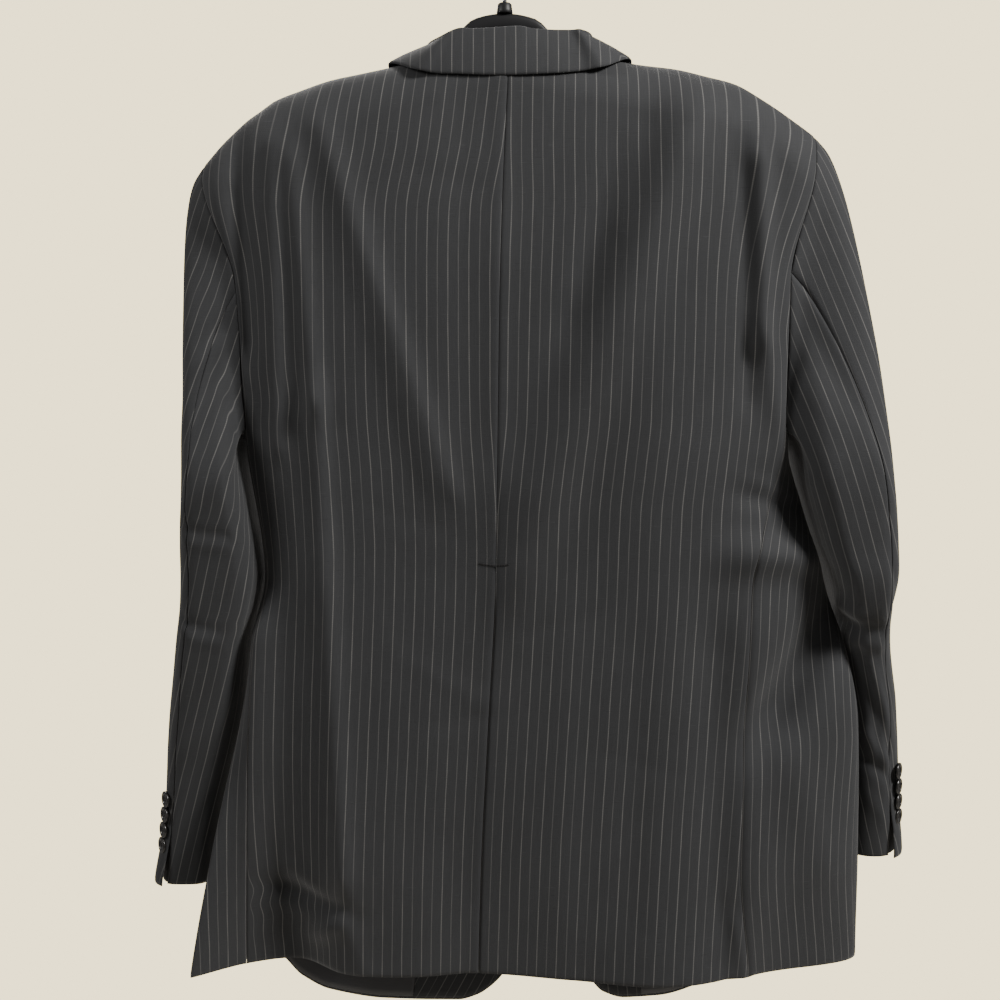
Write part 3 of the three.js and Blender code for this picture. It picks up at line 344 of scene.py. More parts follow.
def section_stations(z):
    """x and y of the 19 stations at each z, from the right front edge round to the left one."""
    shape = np.shape(z)
    left = left_sections(z).reshape(*shape, STATIONS, 2)
    right = right_sections(z).reshape(*shape, STATIONS, 2)[..., ::-1, :]
    return np.concatenate([right, centre_back(z)[..., None, :], left], axis=-2)


def section_point(s, z):
    """x and y at station s of the section at height z.

    A cubic runs between stations, and its slope at a station is the mean of the steps on both sides,
    each weighted by the other's length. Past the front edges the line goes straight on.
    """
    s, z = np.broadcast_arrays(np.asarray(s, float), np.asarray(z, float))
    points = section_stations(z)
    last = 2 * STATIONS
    at = np.clip(np.floor(s + STATIONS).astype(int), 0, last - 1)
    t = (s + STATIONS - at)[..., None]

    def pick(k):
        return np.take_along_axis(points, np.clip(k, 0, last)[..., None, None], axis=-2)[..., 0, :]

    start, end = pick(at), pick(at + 1)
    before = np.where((at > 0)[..., None], pick(at - 1), 2 * start - end)
    after = np.where((at < last - 1)[..., None], pick(at + 2), 2 * end - start)

    def length(a, b):
        return np.linalg.norm(b - a, axis=-1, keepdims=True)

    step, step_before, step_after = length(start, end), length(before, start), length(end, after)
    slope_start = (start - before) * (step / step_before) + (end - start) * (step_before / step)
    slope_end = (end - start) * (step_after / step) + (after - end) * (step / step_after)
    curve = hermite(
        start, slope_start * step / (step_before + step), end, slope_end * step / (step + step_after), t
    )
    return np.where((t < 0) | (t > 1), mix(start, end, t), curve)


def ridge_z(x):
    """Height of the shoulder line at x."""
    return np.where(x > -8, ridge_left(x)[..., 0], ridge_right(-x)[..., 0])


def shoulder_heights(s):
    """Height of the shoulder line over each station, found by stepping to where section and line meet."""
    z = np.full(len(s), -150.0)
    for _ in range(30):
        z = mix(z, ridge_z(section_point(s, z)[..., 0]), 0.7)
    return z


RIDGE_STATIONS = np.linspace(-STATIONS, STATIONS, 1801)
RIDGE_HEIGHTS = shoulder_heights(RIDGE_STATIONS)


def ridge_over(s):
    """Height of the shoulder line over station s."""
    return np.interp(s, RIDGE_STATIONS, RIDGE_HEIGHTS)


def fold_depth(folds, a, b):
    """Sum of folds on a plane of coordinates a and b.

    Each is a Gaussian of the distance from its line, with softer ends past which it fades.
    """
    depth = np.zeros(np.broadcast(a, b).shape)
    for from_a, from_b, to_a, to_b, width, height in folds:
        along_a, along_b = to_a - from_a, to_b - from_b
        length = math.hypot(along_a, along_b)
        along = ((a - from_a) * along_a + (b - from_b) * along_b) / length
        across = ((a - from_a) * along_b - (b - from_b) * along_a) / length
        past = np.maximum(0, np.maximum(-along, along - length))
        depth += height * np.exp(-((across / width) ** 2) - (past / (width * 2)) ** 2)
    return depth


def ripple(a, b, wave, seed):
    """Slow unevenness of hung cloth: a mean of eight sine waves of mixed direction and length."""
    chance = np.random.default_rng(seed)
    total = 0
    for turn, phase, stretch in chance.uniform((0, 0, 0.6), (math.pi, 2 * math.pi, 1.6), (8, 3)):
        total = total + np.sin(
            (a * math.cos(turn) + 0.45 * b * math.sin(turn)) * 2 * math.pi / (wave * stretch) + phase
        )
    return total / 8


def main_folds(s, x, z):
    """Depth of the main folds, which fade out on the sides."""
    return smoothstep(5.4 - np.abs(s)) * fold_depth(MAIN_FOLDS, x, z)


def body(s, r, creased=True):
    """The outer surface. r goes 0 to 1 over the shoulder's quarter turn and then down by ROW_UNIT."""
    s, r = np.broadcast_arrays(np.asarray(s, float), np.asarray(r, float))
    turn = np.minimum(r, 1) * math.pi / 2
    z = ridge_over(s) - SHOULDER_ROUND * (1 - np.cos(turn)) - np.maximum(0, r - 1) * ROW_UNIT
    point = section_point(s, z)
    x = point[..., 0]
    depth = point[..., 1] + main_folds(s, x, z)
    if creased:
        on_sides = smoothstep(6.4 - np.abs(s))
        depth = depth + on_sides * fold_depth(BACK_CREASES, x, z)
        facing = np.where(np.abs(s) < 6, 1.0, -1.0)
        depth = depth + facing * smoothstep(r) * (0.9 * ripple(x, z, 150, 3) + 0.3 * ripple(x, z, 46, 5))
    y = RIDGE_Y + (depth - RIDGE_Y) * np.sin(turn)
    return np.stack([x, y, z], axis=-1)


def body_frame(s, r, creased=True):
    """Point, and unit vectors along the stations, down, and out of the cloth."""
    step = 0.004
    across = unit(body(s + step, r, creased) - body(s - step, r, creased))
    down = unit(body(s, r + step, creased) - body(s, r - step, creased))
    return body(s, r, creased), across, down, unit(np.cross(across, down))


def row_at(s, z):
    """r of station s at height z."""
    below = ridge_over(s) - z
    turned = np.arccos(1 - np.clip(below, 0, SHOULDER_ROUND) / SHOULDER_ROUND) * 2 / math.pi
    return np.where(below >= SHOULDER_ROUND, 1 + (below - SHOULDER_ROUND) / ROW_UNIT, turned)


def neck_row(s):
    """r of the back neck seam."""
    share = np.clip(np.abs(s) / NECK_STATION, 0, 1)
    return np.where(share >= 1, 0, row_at(s, ridge_over(s) - NECK_DROP * (1 - share * share) ** 0.75))


def hem_at(s):
    """Height of the lower edge."""
    return np.where(s >= 0, hem_left(s)[..., 0], hem_right(-s)[..., 0])


def underarm_at(s):
    """Height of the armhole's lowest part."""
    share = np.minimum(1, np.abs(np.abs(s) - 5.5) / 1.5)
    return UNDERARM_Z + UNDERARM_RISE * share * share


ROUND_ROWS, UPPER_ROWS, LOWER_ROWS = 3, 6, 13
UNDERARM_ROW = ROUND_ROWS + UPPER_ROWS
ALL_ROWS = UNDERARM_ROW + LOWER_ROWS


def panel_row(s, k):
    """r of row k: rows over the shoulder, rows to the underarm, rows to the hem."""
    start = np.where(np.abs(s) < NECK_STATION, neck_row(s), 0)
    underarm = row_at(s, underarm_at(s))
    hem = row_at(s, hem_at(s))
    upper = mix(1, underarm, (k - ROUND_ROWS) / UPPER_ROWS)
    lower = mix(underarm, hem, (k - UNDERARM_ROW) / LOWER_ROWS)
    over = mix(start, 1, k / ROUND_ROWS)
    return np.where(k <= ROUND_ROWS, over, np.where(k <= UNDERARM_ROW, upper, lower))


ARC_STEP = 4.0
ARC_Z = np.arange(-80.0, -1001.0, -ARC_STEP)
ARC_S = np.linspace(-STATIONS, STATIONS, 721)


def measured_sections():
    """Distance along the cloth from the centre back, at each height of ARC_Z and station of ARC_S."""
    s, z = np.meshgrid(ARC_S, ARC_Z)
    point = section_point(s, z)
    x = point[..., 0]
    y = point[..., 1] + main_folds(s, x, z)
    arc = running(np.hypot(np.diff(x), np.diff(y)))
    return arc - arc[:, [len(ARC_S) // 2]]


ARCS = measured_sections()


def arc_at(s, z):
    """Distance along the cloth from the centre back to station s at height z, read between samples."""
    row = np.clip((ARC_Z[0] - z) / ARC_STEP, 0, len(ARC_Z) - 1.001)
    column = np.clip((s + STATIONS) / (2 * STATIONS) * (len(ARC_S) - 1), 0, len(ARC_S) - 1.001)
    i, j = row.astype(int), column.astype(int)
    down, over = row - i, column - j
    top = mix(ARCS[i, j], ARCS[i, j + 1], over)
    return mix(top, mix(ARCS[i + 1, j], ARCS[i + 1, j + 1], over), down)


# ---------------------------------------------------------------- meshes


def grid_faces(index):
    """Four corners of every cell of a grid of vertex numbers."""
    corners = (index[:-1, :-1], index[1:, :-1], index[1:, 1:], index[:-1, 1:])
    return np.stack(corners, axis=-1).reshape(-1, 4)


def make_object(name, points, faces, uv, face_material, materials):
    """A mesh object from points in millimetres, its faces, a UV in metres and a material for each face."""
    mesh = bpy.data.meshes.new(name)
    mesh.from_pydata((points + TO_FRAME) * MILLIMETRE, [], faces.tolist())
    layer = mesh.uv_layers.new(name="cloth")
    corners = np.empty(len(mesh.loops), np.int32)
    mesh.loops.foreach_get("vertex_index", corners)
    layer.data.foreach_set("uv", (uv[corners] * MILLIMETRE).ravel())
    for material in materials:
        mesh.materials.append(material)
    mesh.polygons.foreach_set("material_index", face_material.astype(np.int32))
    mesh.polygons.foreach_set("use_smooth", np.ones(len(mesh.polygons), bool))
    mesh.update()
    mesh.validate()
    made = bpy.data.objects.new(name, mesh)
    bpy.context.scene.collection.objects.link(made)
    return made


def border_of(rows, columns):
    """Vertex numbers round the border of a grid, and for each the number of its neighbour inside."""
    index = np.arange(rows * columns).reshape(rows, columns)
    ring = np.concatenate([index[0, :], index[1:, -1], index[-1, -2::-1], index[-2:0:-1, 0]])
    inside = index[1:-1, 1:-1]
    near = np.pad(inside, 1, mode="edge")
    return ring, np.concatenate([near[0, :], near[1:, -1], near[-1, -2::-1], near[-2:0:-1, 0]])


def wall(name, outer, normals, uv, materials, thickness=WALL, inner_kind=1):
    """A closed wall of cloth. outer is a grid of points, and the inner side lies a thickness below it.

    The border's outer and inner points are rolled in toward a line half way down, which keeps the cut's
    outline. inner_kind is the material of the inner side, or of each of its cells: 1 is the lining.
    """
    rows, columns = outer.shape[:2]
    count = rows * columns
    flat_outer = outer.reshape(-1, 3).copy()
    flat_normals = normals.reshape(-1, 3)
    flat_inner = flat_outer - flat_normals * thickness
    ring, near = border_of(rows, columns)
    middle = (flat_outer[ring] + flat_inner[ring]) / 2
    inward = unit(flat_outer[near] - flat_outer[ring]) * EDGE_ROLL
    sink = flat_normals[ring] * thickness * 0.2
    flat_outer[ring] += inward - sink
    flat_inner[ring] += inward + sink

    index = np.arange(count).reshape(rows, columns)
    outer_faces = grid_faces(index)
    inner_faces = grid_faces(index)[:, ::-1] + count
    rim = 2 * count + np.arange(len(ring))
    turned = np.roll(np.arange(len(ring)), -1)
    upper = np.stack([ring, ring[turned], rim[turned], rim], axis=-1)
    lower = np.stack([rim, rim[turned], ring[turned] + count, ring + count], axis=-1)
    faces = np.concatenate([outer_faces, inner_faces, upper, lower])
    inner_kind = np.broadcast_to(inner_kind, (rows - 1, columns - 1))
    kinds = np.concatenate([np.zeros(len(outer_faces)), inner_kind.reshape(-1), np.zeros(2 * len(ring))])
    points = np.concatenate([flat_outer, flat_inner, middle])
    corner = points[outer_faces[len(outer_faces) // 2]]
    facing = np.cross(corner[2] - corner[0], corner[3] - corner[1])
    if facing @ flat_normals[outer_faces[len(outer_faces) // 2, 0]] < 0:
        faces = faces[:, ::-1]
    flat_uv = uv.reshape(-1, 2)
    all_uv = np.concatenate([flat_uv, flat_uv, flat_uv[ring]])
    return make_object(name, points, faces, all_uv, kinds, materials)


def pulled_in(points, gap, sides):
    """The grid with its named borders moved half a gap toward their neighbours."""
    points = points.copy()
    for side, edge, near in (
        ("first", np.s_[:, 0], np.s_[:, 1]), ("last", np.s_[:, -1], np.s_[:, -2]),
        ("top", np.s_[0, :], np.s_[1, :]), ("bottom", np.s_[-1, :], np.s_[-2, :]),
    ):
        if side in sides:
            points[edge] += unit(points[near] - points[edge]) * gap / 2
    return points


def grid_normals(points):
    """Normals of a grid of points from the steps to the neighbours on both sides."""
    return unit(np.cross(np.gradient(points, axis=0), np.gradient(points, axis=1)))


def lathe(profile, sides):
    """Points of a profile of (radius, height) turned about z, a row for each of its points."""
    angle = np.arange(sides) * 2 * math.pi / sides
    profile = np.array(profile, float)
    return np.stack([
        profile[:, :1] * np.cos(angle), profile[:, :1] * np.sin(angle),
        np.repeat(profile[:, 1:], sides, axis=1),
    ], axis=-1)


def round_faces(rows, sides, start=0):
    """Faces of a grid whose columns close on themselves, facing out for a profile that rises."""
    index = start + np.arange(rows * sides).reshape(rows, sides)
    return grid_faces(np.concatenate([index, index[:, :1]], axis=1))[:, ::-1]


def tube_points(path, radius, sides):
    """Rings of a tube along a path: each is a circle across the path's direction at its point."""
    direction = unit(np.gradient(path, axis=0))
    helper = np.where(np.abs(direction[:, 1:2]) > 0.9, [[1.0, 0, 0]], [[0, 1.0, 0]])
    first = unit(np.cross(direction, helper))
    second = np.cross(direction, first)
    angle = np.arange(sides)[:, None] * 2 * math.pi / sides
    radius = np.broadcast_to(radius, len(path))[:, None, None]
    return path[:, None] + radius * (np.cos(angle) * first[:, None] + np.sin(angle) * second[:, None])


def tubes(name, paths, radius, material, sides=6):
    """One object of closed tubes, each with a point at both ends."""
    points, faces, start = [], [], 0
    for path in paths:
        rings = tube_points(path, radius, sides)
        rings = np.concatenate([
            np.repeat(path[:1, None], sides, axis=1), rings, np.repeat(path[-1:, None], sides, axis=1),
        ])
        points.append(rings.reshape(-1, 3))
        faces.append(round_faces(len(rings), sides, start))
        start += len(rings) * sides
    points, faces = np.concatenate(points), np.concatenate(faces)
    return closed_up(make_object(name, points, faces, points[:, :2], np.zeros(len(faces)), [material]))


def closed_up(made):
    """The piece with doubled points merged, as at poles, and all faces turned outward."""
    work = bmesh.new()
    work.from_mesh(made.data)
    bmesh.ops.remove_doubles(work, verts=work.verts, dist=0.00001)
    bmesh.ops.dissolve_degenerate(work, edges=work.edges, dist=0.000001)
    bmesh.ops.recalc_face_normals(work, faces=work.faces)
    work.to_mesh(made.data)
    work.free()
    return made


def solid(name, points, faces, material):
    """A closed piece of one material, with u and v on x and z."""
    flat = points.reshape(-1, 3)
    return closed_up(make_object(name, flat, faces, flat[:, [0, 2]], np.zeros(len(faces)), [material]))


# ---------------------------------------------------------------- body panels


def panel_uv(s, points, side, shifted, origin=0):
    """Cloth coordinates: u across the stripes from the grain's own line, v down the piece.

    On the back (shifted) u is the distance from the centre seam less what the seam's curve cuts away,
    and the grain leans out toward the armhole at the top. On other panels it is the distance from
    station origin.
    """
    z = points[..., 2]
    arc = arc_at(s, z) * side
    if shifted:
        cut = grain_shift(z)[..., 0 if side > 0 else 1]
        reach, start, width = GRAIN_LEAN[side]
        lean = reach * smoothstep((arc - start) / width) * smoothstep((z + 330) / 170)
        u = arc - cut - lean - FIRST_STRIPE[side]
    else:
        u = arc - np.abs(arc_at(np.full_like(s, origin * side), z))
    return np.stack([u, -z], axis=-1)


def body_grid(stations, first_row, last_row, rows):
    """Stations and rows of a fine grid between two rows of the panels."""
    s, k = np.meshgrid(stations, np.linspace(first_row, last_row, rows))
    return s, panel_row(s, k)


def turned_up(points, hem):
    """Material of the inner cells: the cloth itself where it is turned up at the hem, else lining."""
    height = points[..., 2] - hem
    return np.where(height[:-1, :-1] < TURN_UP, 0, 1)


def body_panel(name, side, stations, size, first_row, edges, materials, origin=None):
    """A panel of the body between two stations, as a wall of the given columns and rows.

    edges are the borders that are sewn. A back panel has no origin: its stripes start at the seam.
    """
    columns, rows = size
    shifted = origin is None
    s, r = body_grid(np.linspace(*stations, columns) * side, first_row, ALL_ROWS, rows)
    points, _, _, normals = body_frame(s, r)
    uv = panel_uv(s, points, side, shifted, origin or 0)
    if shifted:  # the vent's upper edge stands out a little, and the one under it lies back
        lift = 0.9 * smoothstep(1 - np.abs(s) / 0.22) * smoothstep((VENT_TOP_Z - points[..., 2]) / 60)
        points = points + normals * lift[..., None] * (1 if side > 0 else -0.6)
    inner = turned_up(points, hem_at(s))
    return wall(name, pulled_in(points, SEAM_GAP, edges), normals, uv, materials, WALL, inner)


def vent_underlap(materials):
    """The right back panel's extension, which runs on under the left one below the vent's top."""
    s, z_share = np.meshgrid(np.linspace(-0.12, UNDERLAP_STATION, 12), np.linspace(0, 1, 90))
    top = VENT_TOP_Z + 12 * (1 - s / UNDERLAP_STATION)
    z = mix(top, hem_at(s) + 1.0, z_share)
    points, _, _, normals = body_frame(s, row_at(s, z))
    points = points - normals * UNDERLAP_DEPTH
    uv = panel_uv(s, points, -1, True)
    return wall("vent_underlap", points, normals, uv, materials, LINING_WALL, 0)


def bar_tack(material):
    """Stitches across the top of the vent: short threads side by side along a slightly curved line."""
    share = np.linspace(0, 1, 12)
    paths = []
    for station in np.linspace(-0.14, 0.22, 20):
        z = VENT_TOP_Z - 3.0 + 1.6 * share + 40 * (station - 0.04) ** 2
        s = np.full(12, station)
        points, _, _, normals = body_frame(s, row_at(s, z))
        paths.append(points + normals * (0.15 + 0.25 * np.sin(share * math.pi))[:, None])
    return tubes("vent_bar_tack", paths, 0.3, material, 5)


def seam_allowance(name, station, top_z, bottom_z, materials, reach=0.12):
    """A strip behind a seam of the body, where both panels' edges are turned in and pressed open.

    It starts at the neck seam, or at top_z where that is lower.
    """
    s, share = np.meshgrid(station + np.linspace(-reach, reach, 7), np.linspace(0, 1, 160))
    top = np.minimum(ridge_over(s) - NECK_DROP - 3, top_z) if station == 0 else top_z
    points, _, _, normals = body_frame(s, row_at(s, mix(top, bottom_z, share)))
    points = points - normals * (WALL + ALLOWANCE_GAP)
    uv = np.stack([s * 70, -points[..., 2]], axis=-1)
    return wall(name, points, normals, uv, materials, ALLOWANCE_WALL, 0)


# ---------------------------------------------------------------- collar and lapels

TURN_RADIUS = 3.2
TURN_STEPS = 4
FALL_STEPS = 5
COLLAR_BOW = 1.5
STRIP_STEPS = 4  # fine columns to each coarse one, of collar and lapels
EDGE_STEP = 0.01

# Collar along the back neck seam, left and right: station, lean, splay, stand, end station, end drop,
# lift.
COLLAR_BACK = {
    1: [
        (0, 10, 0, 26, 0, 44, 0), (0.4, 10, 0, 26, 0.52, 40, 0), (0.8, 12, 0, 27, 1.0, 34.5, 0),
        (1.2, 20, 0, 27, 1.52, 27, 0), (1.6, 38, 0, 19, 2.0, 18, 3.4), (2, 66, 0, 8, 2.3, 0, 2),
    ],
    -1: [
        (0, 10, 0, 26, 0, 44, 0), (0.4, 10, 0, 27, 0.52, 38, 0), (0.8, 12, 8, 28.5, 1.0, 32, 0),
        (1.2, 16, 20, 29, 1.52, 24.5, 0), (1.6, 38, 26, 24, 2.0, 18, 3.4), (2, 72, 0, 13, 2.3, 0, 2),
    ],
}
# Collar down the roll edge: the body's row, then the same.
COLLAR_FRONT = [
    (1 / 3, 40, 0, 5, 8.64, 9, 0), (2 / 3, 18, 0, 3.5, 8.57, 28, 0), (1, 6, 0, 2.5, 8.5, 53, 0),
    (1.13, 2, 0, 2.5, 8.47, 65, 0),
]
# Lapel: the front panel's row, stand, bow, end station, end drop.
lapel_table = smooth_table([
    (3.42, 2.5, 4, 8.05, 78), (5, 2.5, 4, 8.12, 130), (7, 2, 3, 8.33, 218),
    (10, 1.5, 2, 8.63, 345), (12, 1, 1, 8.86, 432), (13, 0.6, 0.5, 8.94, 473),
])
LAPEL_ROWS = (3.42, 4, 5, 6, 7, 8, 9, 10, 11, 12, 13)


def plain_frame(s, r):
    """Point and outward normal of the body without its fine creases."""
    point, _, _, normal = body_frame(s, r, False)
    return point, normal


def turned_section(edge, lean, splay, stand, end, bow):
    """A section of a strip that rises off an edge, turns over in a half circle and lies back down.

    edge holds a point, the normal there and the direction past the edge. The stand leans from that
    direction to the normal, splay turns it round the normal, and the fall runs straight to its end,
    bowed out in its middle.
    """
    point, normal, straight = edge
    spread = math.radians(splay)
    beyond = straight * math.cos(spread) + np.cross(normal, straight) * math.sin(spread)
    tilt = math.radians(lean)
    rise = beyond * math.cos(tilt) + normal * math.sin(tilt)
    to_neck = beyond * math.sin(tilt) - normal * math.cos(tilt)
    base = point + beyond * EDGE_GAP + to_neck * WALL
    section = [base, base + rise * stand / 2, base + rise * stand]
    for i in range(1, TURN_STEPS + 1):
        angle = i / TURN_STEPS * math.pi
        over = TURN_RADIUS * math.sin(angle)
        section.append(base + rise * (stand + over) - to_neck * TURN_RADIUS * (1 - math.cos(angle)))
    end_s, end_drop, lift = end
    end_point, end_normal = plain_frame(end_s, row_at(end_s, ridge_over(end_s) - end_drop))
    target = end_point + end_normal * (WALL + LYING_GAP + lift)
    start = section[-1]
    for i in range(1, FALL_STEPS + 1):
        t = i / FALL_STEPS
        section.append(mix(start, target, t) + end_normal * bow * 4 * t * (1 - t))
    return section


def neck_edge(s):
    """The back neck seam at station s, its normal and the direction past it."""
    point, normal = plain_frame(s, neck_row(s))
    after, before = (body(at, neck_row(at), False) for at in (s + EDGE_STEP, s - EDGE_STEP))
    along = after - before
    return point, normal, unit(np.cross(along, normal))


def roll_edge(side, r):
    """The front's roll edge at row r, its normal and the direction past it."""
    s = STATIONS * side
    point, normal = plain_frame(s, r)
    along = body(s, r + EDGE_STEP, False) - body(s, r - EDGE_STEP, False)
    return point, normal, -side * unit(np.cross(normal, along))


def neck_point(side):
    """Where neck seam, roll edge and shoulder seam meet."""
    back, front = neck_edge(1.93 * side), roll_edge(side, 0.08)
    return body(NECK_STATION * side, 0, False), unit(back[1] + front[1]), unit(back[2] + front[2])


def lofted(points, row_steps, column_steps):
    """A coarse grid made finer by a cubic through its points, along rows and then along columns."""

    def finer(values, steps):
        count = len(values)
        at = np.minimum(np.arange(steps * (count - 1) + 1) // steps, count - 2)
        t = (np.arange(steps * (count - 1) + 1) / steps - at)[:, None, None]
        slopes = np.gradient(values, axis=0)
        return hermite(values[at], slopes[at], values[at + 1], slopes[at + 1], t)

    rows = finer(points, row_steps)
    return finer(rows.swapaxes(0, 1), column_steps).swapaxes(0, 1)


def collar(materials):
    """The collar: stand, turn and fall, from one front end round the neck to the other.

    Its stripes run straight up at the back, and across it where it comes round to the front.
    """
    sides = {}
    for side in (1, -1):
        back = COLLAR_BACK[side]
        edges = [neck_edge(row[0] * side) if row[0] < NECK_STATION else neck_point(side) for row in back]
        edges += [roll_edge(side, row[0]) for row in COLLAR_FRONT]
        sides[side] = np.array([
            turned_section(edge, lean, splay * side, stand, (end_s * side, drop, lift), COLLAR_BOW)
            for edge, (_, lean, splay, stand, end_s, drop, lift) in zip(edges, back + COLLAR_FRONT)
        ])
    coarse = np.concatenate([sides[-1][:0:-1], sides[1]])
    points = lofted(coarse, 8, STRIP_STEPS)
    fold = (TURN_STEPS // 2 + 2) * STRIP_STEPS
    along = run_along(points, 0)[:, [fold]]
    x, y, _ = np.moveaxis(points, -1, 0)
    u = mix(along - along[len(points) // 2], x + 8, smoothstep((y + 10) / 30)) + 5.2
    uv = np.stack([u, run_along(points, 1)], axis=-1)
    return wall("collar_cloth", points, grid_normals(points), uv, materials)


def lapel(name, materials):
    """A lapel from the gorge down to the break, turned back from the front's roll edge."""
    side = SIDES[name]
    rows = []
    for row in LAPEL_ROWS:
        stand, bow, end_s, drop = lapel_table(row)
        edge = roll_edge(side, panel_row(STATIONS * side, row))
        rows.append(turned_section(edge, 2, 0, stand, (end_s * side, drop, 0), bow))
    points = lofted(np.array(rows), 10, STRIP_STEPS)
    over = run_along(points, 1)
    uv = np.stack([over[:, -1:] - over + 3, run_along(points, 0)], axis=-1)
    return wall(f"lapel_cloth_{name}", points, grid_normals(points) * side, uv, materials, WALL, 0)


# ---------------------------------------------------------------- sleeves

HIND_SEAM_ROW, FORE_SEAM_ROW = 5, 7
HIND_ANGLE, FORE_ANGLE, CORNER_ANGLE = 68, -108, 130
CAP_ROWS, ARM_ROWS = 7, 14
SIDE_COLUMNS = 7
CUFF_SLIT = 66  # height of the open part of the cuff's vent
CUFF_FLARE = 7
FLARE_REACH = 34  # how far round from the hind seam the flare goes
PLACKET_HEIGHT = 96  # of the under sleeve's extension behind the vent
PLACKET_COLUMNS = 16
CUFF_BUTTON_ANGLE = HIND_ANGLE - 17
ALLOWANCE_TOP_ROW = 14  # of the grid, from the armhole, behind the fore seam
DOWN_STEPS, ROUND_STEPS = 7, 5  # fine rows and columns to each coarse one
CREASE_SCALE = 1.15  # millimetres of cloth to each degree round the sleeve, in the table of creases
UPPER_STRIPE = 3.1  # where the upper sleeve's first stripe lies past the hind seam


def armhole_ring(side):
    """Coarse points round the armhole from its top down the back, under the arm and up the front.

    Returns points, unit frames, the angle round the sleeve that each goes to, and how far each has
    turned from leaving sideways to leaving downward.
    """
    back = np.arange(UNDERARM_ROW + 1)
    back_turn = (back - HIND_SEAM_ROW) / (UNDERARM_ROW - HIND_SEAM_ROW)
    high, low = HIND_ANGLE * back / HIND_SEAM_ROW, mix(HIND_ANGLE, CORNER_ANGLE, back_turn)
    back_angle = np.where(back <= HIND_SEAM_ROW, high, low)
    under = np.arange(1, SIDE_COLUMNS) / SIDE_COLUMNS
    under_stations = np.array([4.4, 4.8, 5.2, 5.6, 6, 6.5])
    front = np.arange(UNDERARM_ROW, 0, -1)
    front_turn = (front - FORE_SEAM_ROW) / (UNDERARM_ROW - FORE_SEAM_ROW)
    high, low = FORE_ANGLE * front / FORE_SEAM_ROW, mix(FORE_ANGLE, -CORNER_ANGLE, front_turn)
    front_angle = np.where(front >= FORE_SEAM_ROW, low, high)
    seams = np.full(len(back), SIDE_SEAM), np.full(len(front), FRONT_SEAM)
    s = np.concatenate([seams[0], under_stations, seams[1]]) * side
    k = np.concatenate([back, np.full(len(under), UNDERARM_ROW), front])
    angle = np.concatenate([back_angle, mix(CORNER_ANGLE, 360 - CORNER_ANGLE, under), front_angle])
    lift = np.concatenate([smoothstep(back_turn), np.ones(len(under)), smoothstep(front_turn)])
    point, across, down, normal = body_frame(s, panel_row(s, k), False)
    outward = across * np.where(np.abs(s) < 5.5, side, -side)[:, None]
    past = unit(mix(outward, -down, lift[:, None]))
    tilt = mix(0.2, 1.45, lift)[:, None]
    direction = unit(past * np.cos(tilt) + normal * np.sin(tilt))
    first_normal = unit(normal * np.cos(tilt) - past * np.sin(tilt))
    return point, direction, first_normal, angle, lift


def sleeve_point(sections, side, angle, z):
    """A point of the sleeve's section at an angle and a height."""
    x, y, half_x, half_y, power = np.moveaxis(sections(z), -1, 0)
    turn = np.radians(angle)
    power = np.where(np.sin(turn) > 0, power, FRONT_POWER)
    over, back = (np.sign(value) * np.abs(value) ** power for value in (np.cos(turn), np.sin(turn)))
    return np.stack([x + side * half_x * over, y + half_y * back, z + 0 * turn], axis=-1)


def sleeve_grid(name):
    """The whole sleeve as a fine grid, round and down, with angles and distances round it."""
    arm = SLEEVES[name]
    side, sections = arm["side"], arm["sections"]
    point, direction, first_normal, angle, lift = armhole_ring(side)
    share = np.arange(CAP_ROWS + 1)[:, None, None] / CAP_ROWS
    start = point + direction * SEAM_GAP
    top = np.full(len(angle), float(SLEEVE_TOP_Z))
    end = sleeve_point(sections, side, angle, top)
    length = np.linalg.norm(end - start, axis=-1, keepdims=True)
    below = (sleeve_point(sections, side, angle, top - TANGENT_STEP) - end) * length / TANGENT_STEP
    away = direction * np.minimum(length * 0.75, mix(110, 30, lift)[:, None])
    cap = hermite(start, away, end, below, share)
    heights = mix(SLEEVE_TOP_Z, arm["cuff_z"], np.arange(1, ARM_ROWS + 1) / ARM_ROWS)
    tube = sleeve_point(sections, side, angle[None, :], np.repeat(heights[:, None], len(angle), axis=1))
    coarse = np.concatenate([cap, tube])
    seam = HIND_SEAM_ROW
    coarse = np.concatenate([coarse[:, seam:], coarse[:, :seam + 1]], axis=1)
    signed = np.where(angle > 180, angle - 360, angle)
    signed = np.concatenate([signed[seam:], signed[:seam + 1]])
    signed = np.degrees(np.unwrap(np.radians(signed)))
    points = lofted(coarse, DOWN_STEPS, ROUND_STEPS)
    turn = np.interp(np.arange(points.shape[1]) / ROUND_STEPS, np.arange(len(signed)), signed)
    turn = np.broadcast_to(turn, points.shape[:2])
    normals = grid_normals(points)
    normals[:, 0] = normals[:, -1] = unit(normals[:, 0] + normals[:, -1])
    normals = normals * side
    first = np.concatenate([first_normal[seam:], first_normal[:seam + 1]])
    first = lofted(np.stack([first] * 2), 1, ROUND_STEPS)[0]
    fade = smoothstep(np.arange(len(points)) / 8.0)[:, None, None]
    normals = unit(mix(np.broadcast_to(first, normals.shape), normals, fade))
    step = np.abs(np.diff(points, axis=1))
    sideways = np.abs(normals[:, 1:, 0])
    over = (step[..., 0] ** 4 + (step[..., 1] * sideways) ** 4) ** 0.25
    return points, normals, turn, running(over), ROUND_STEPS * (len(angle) - FORE_SEAM_ROW - seam)


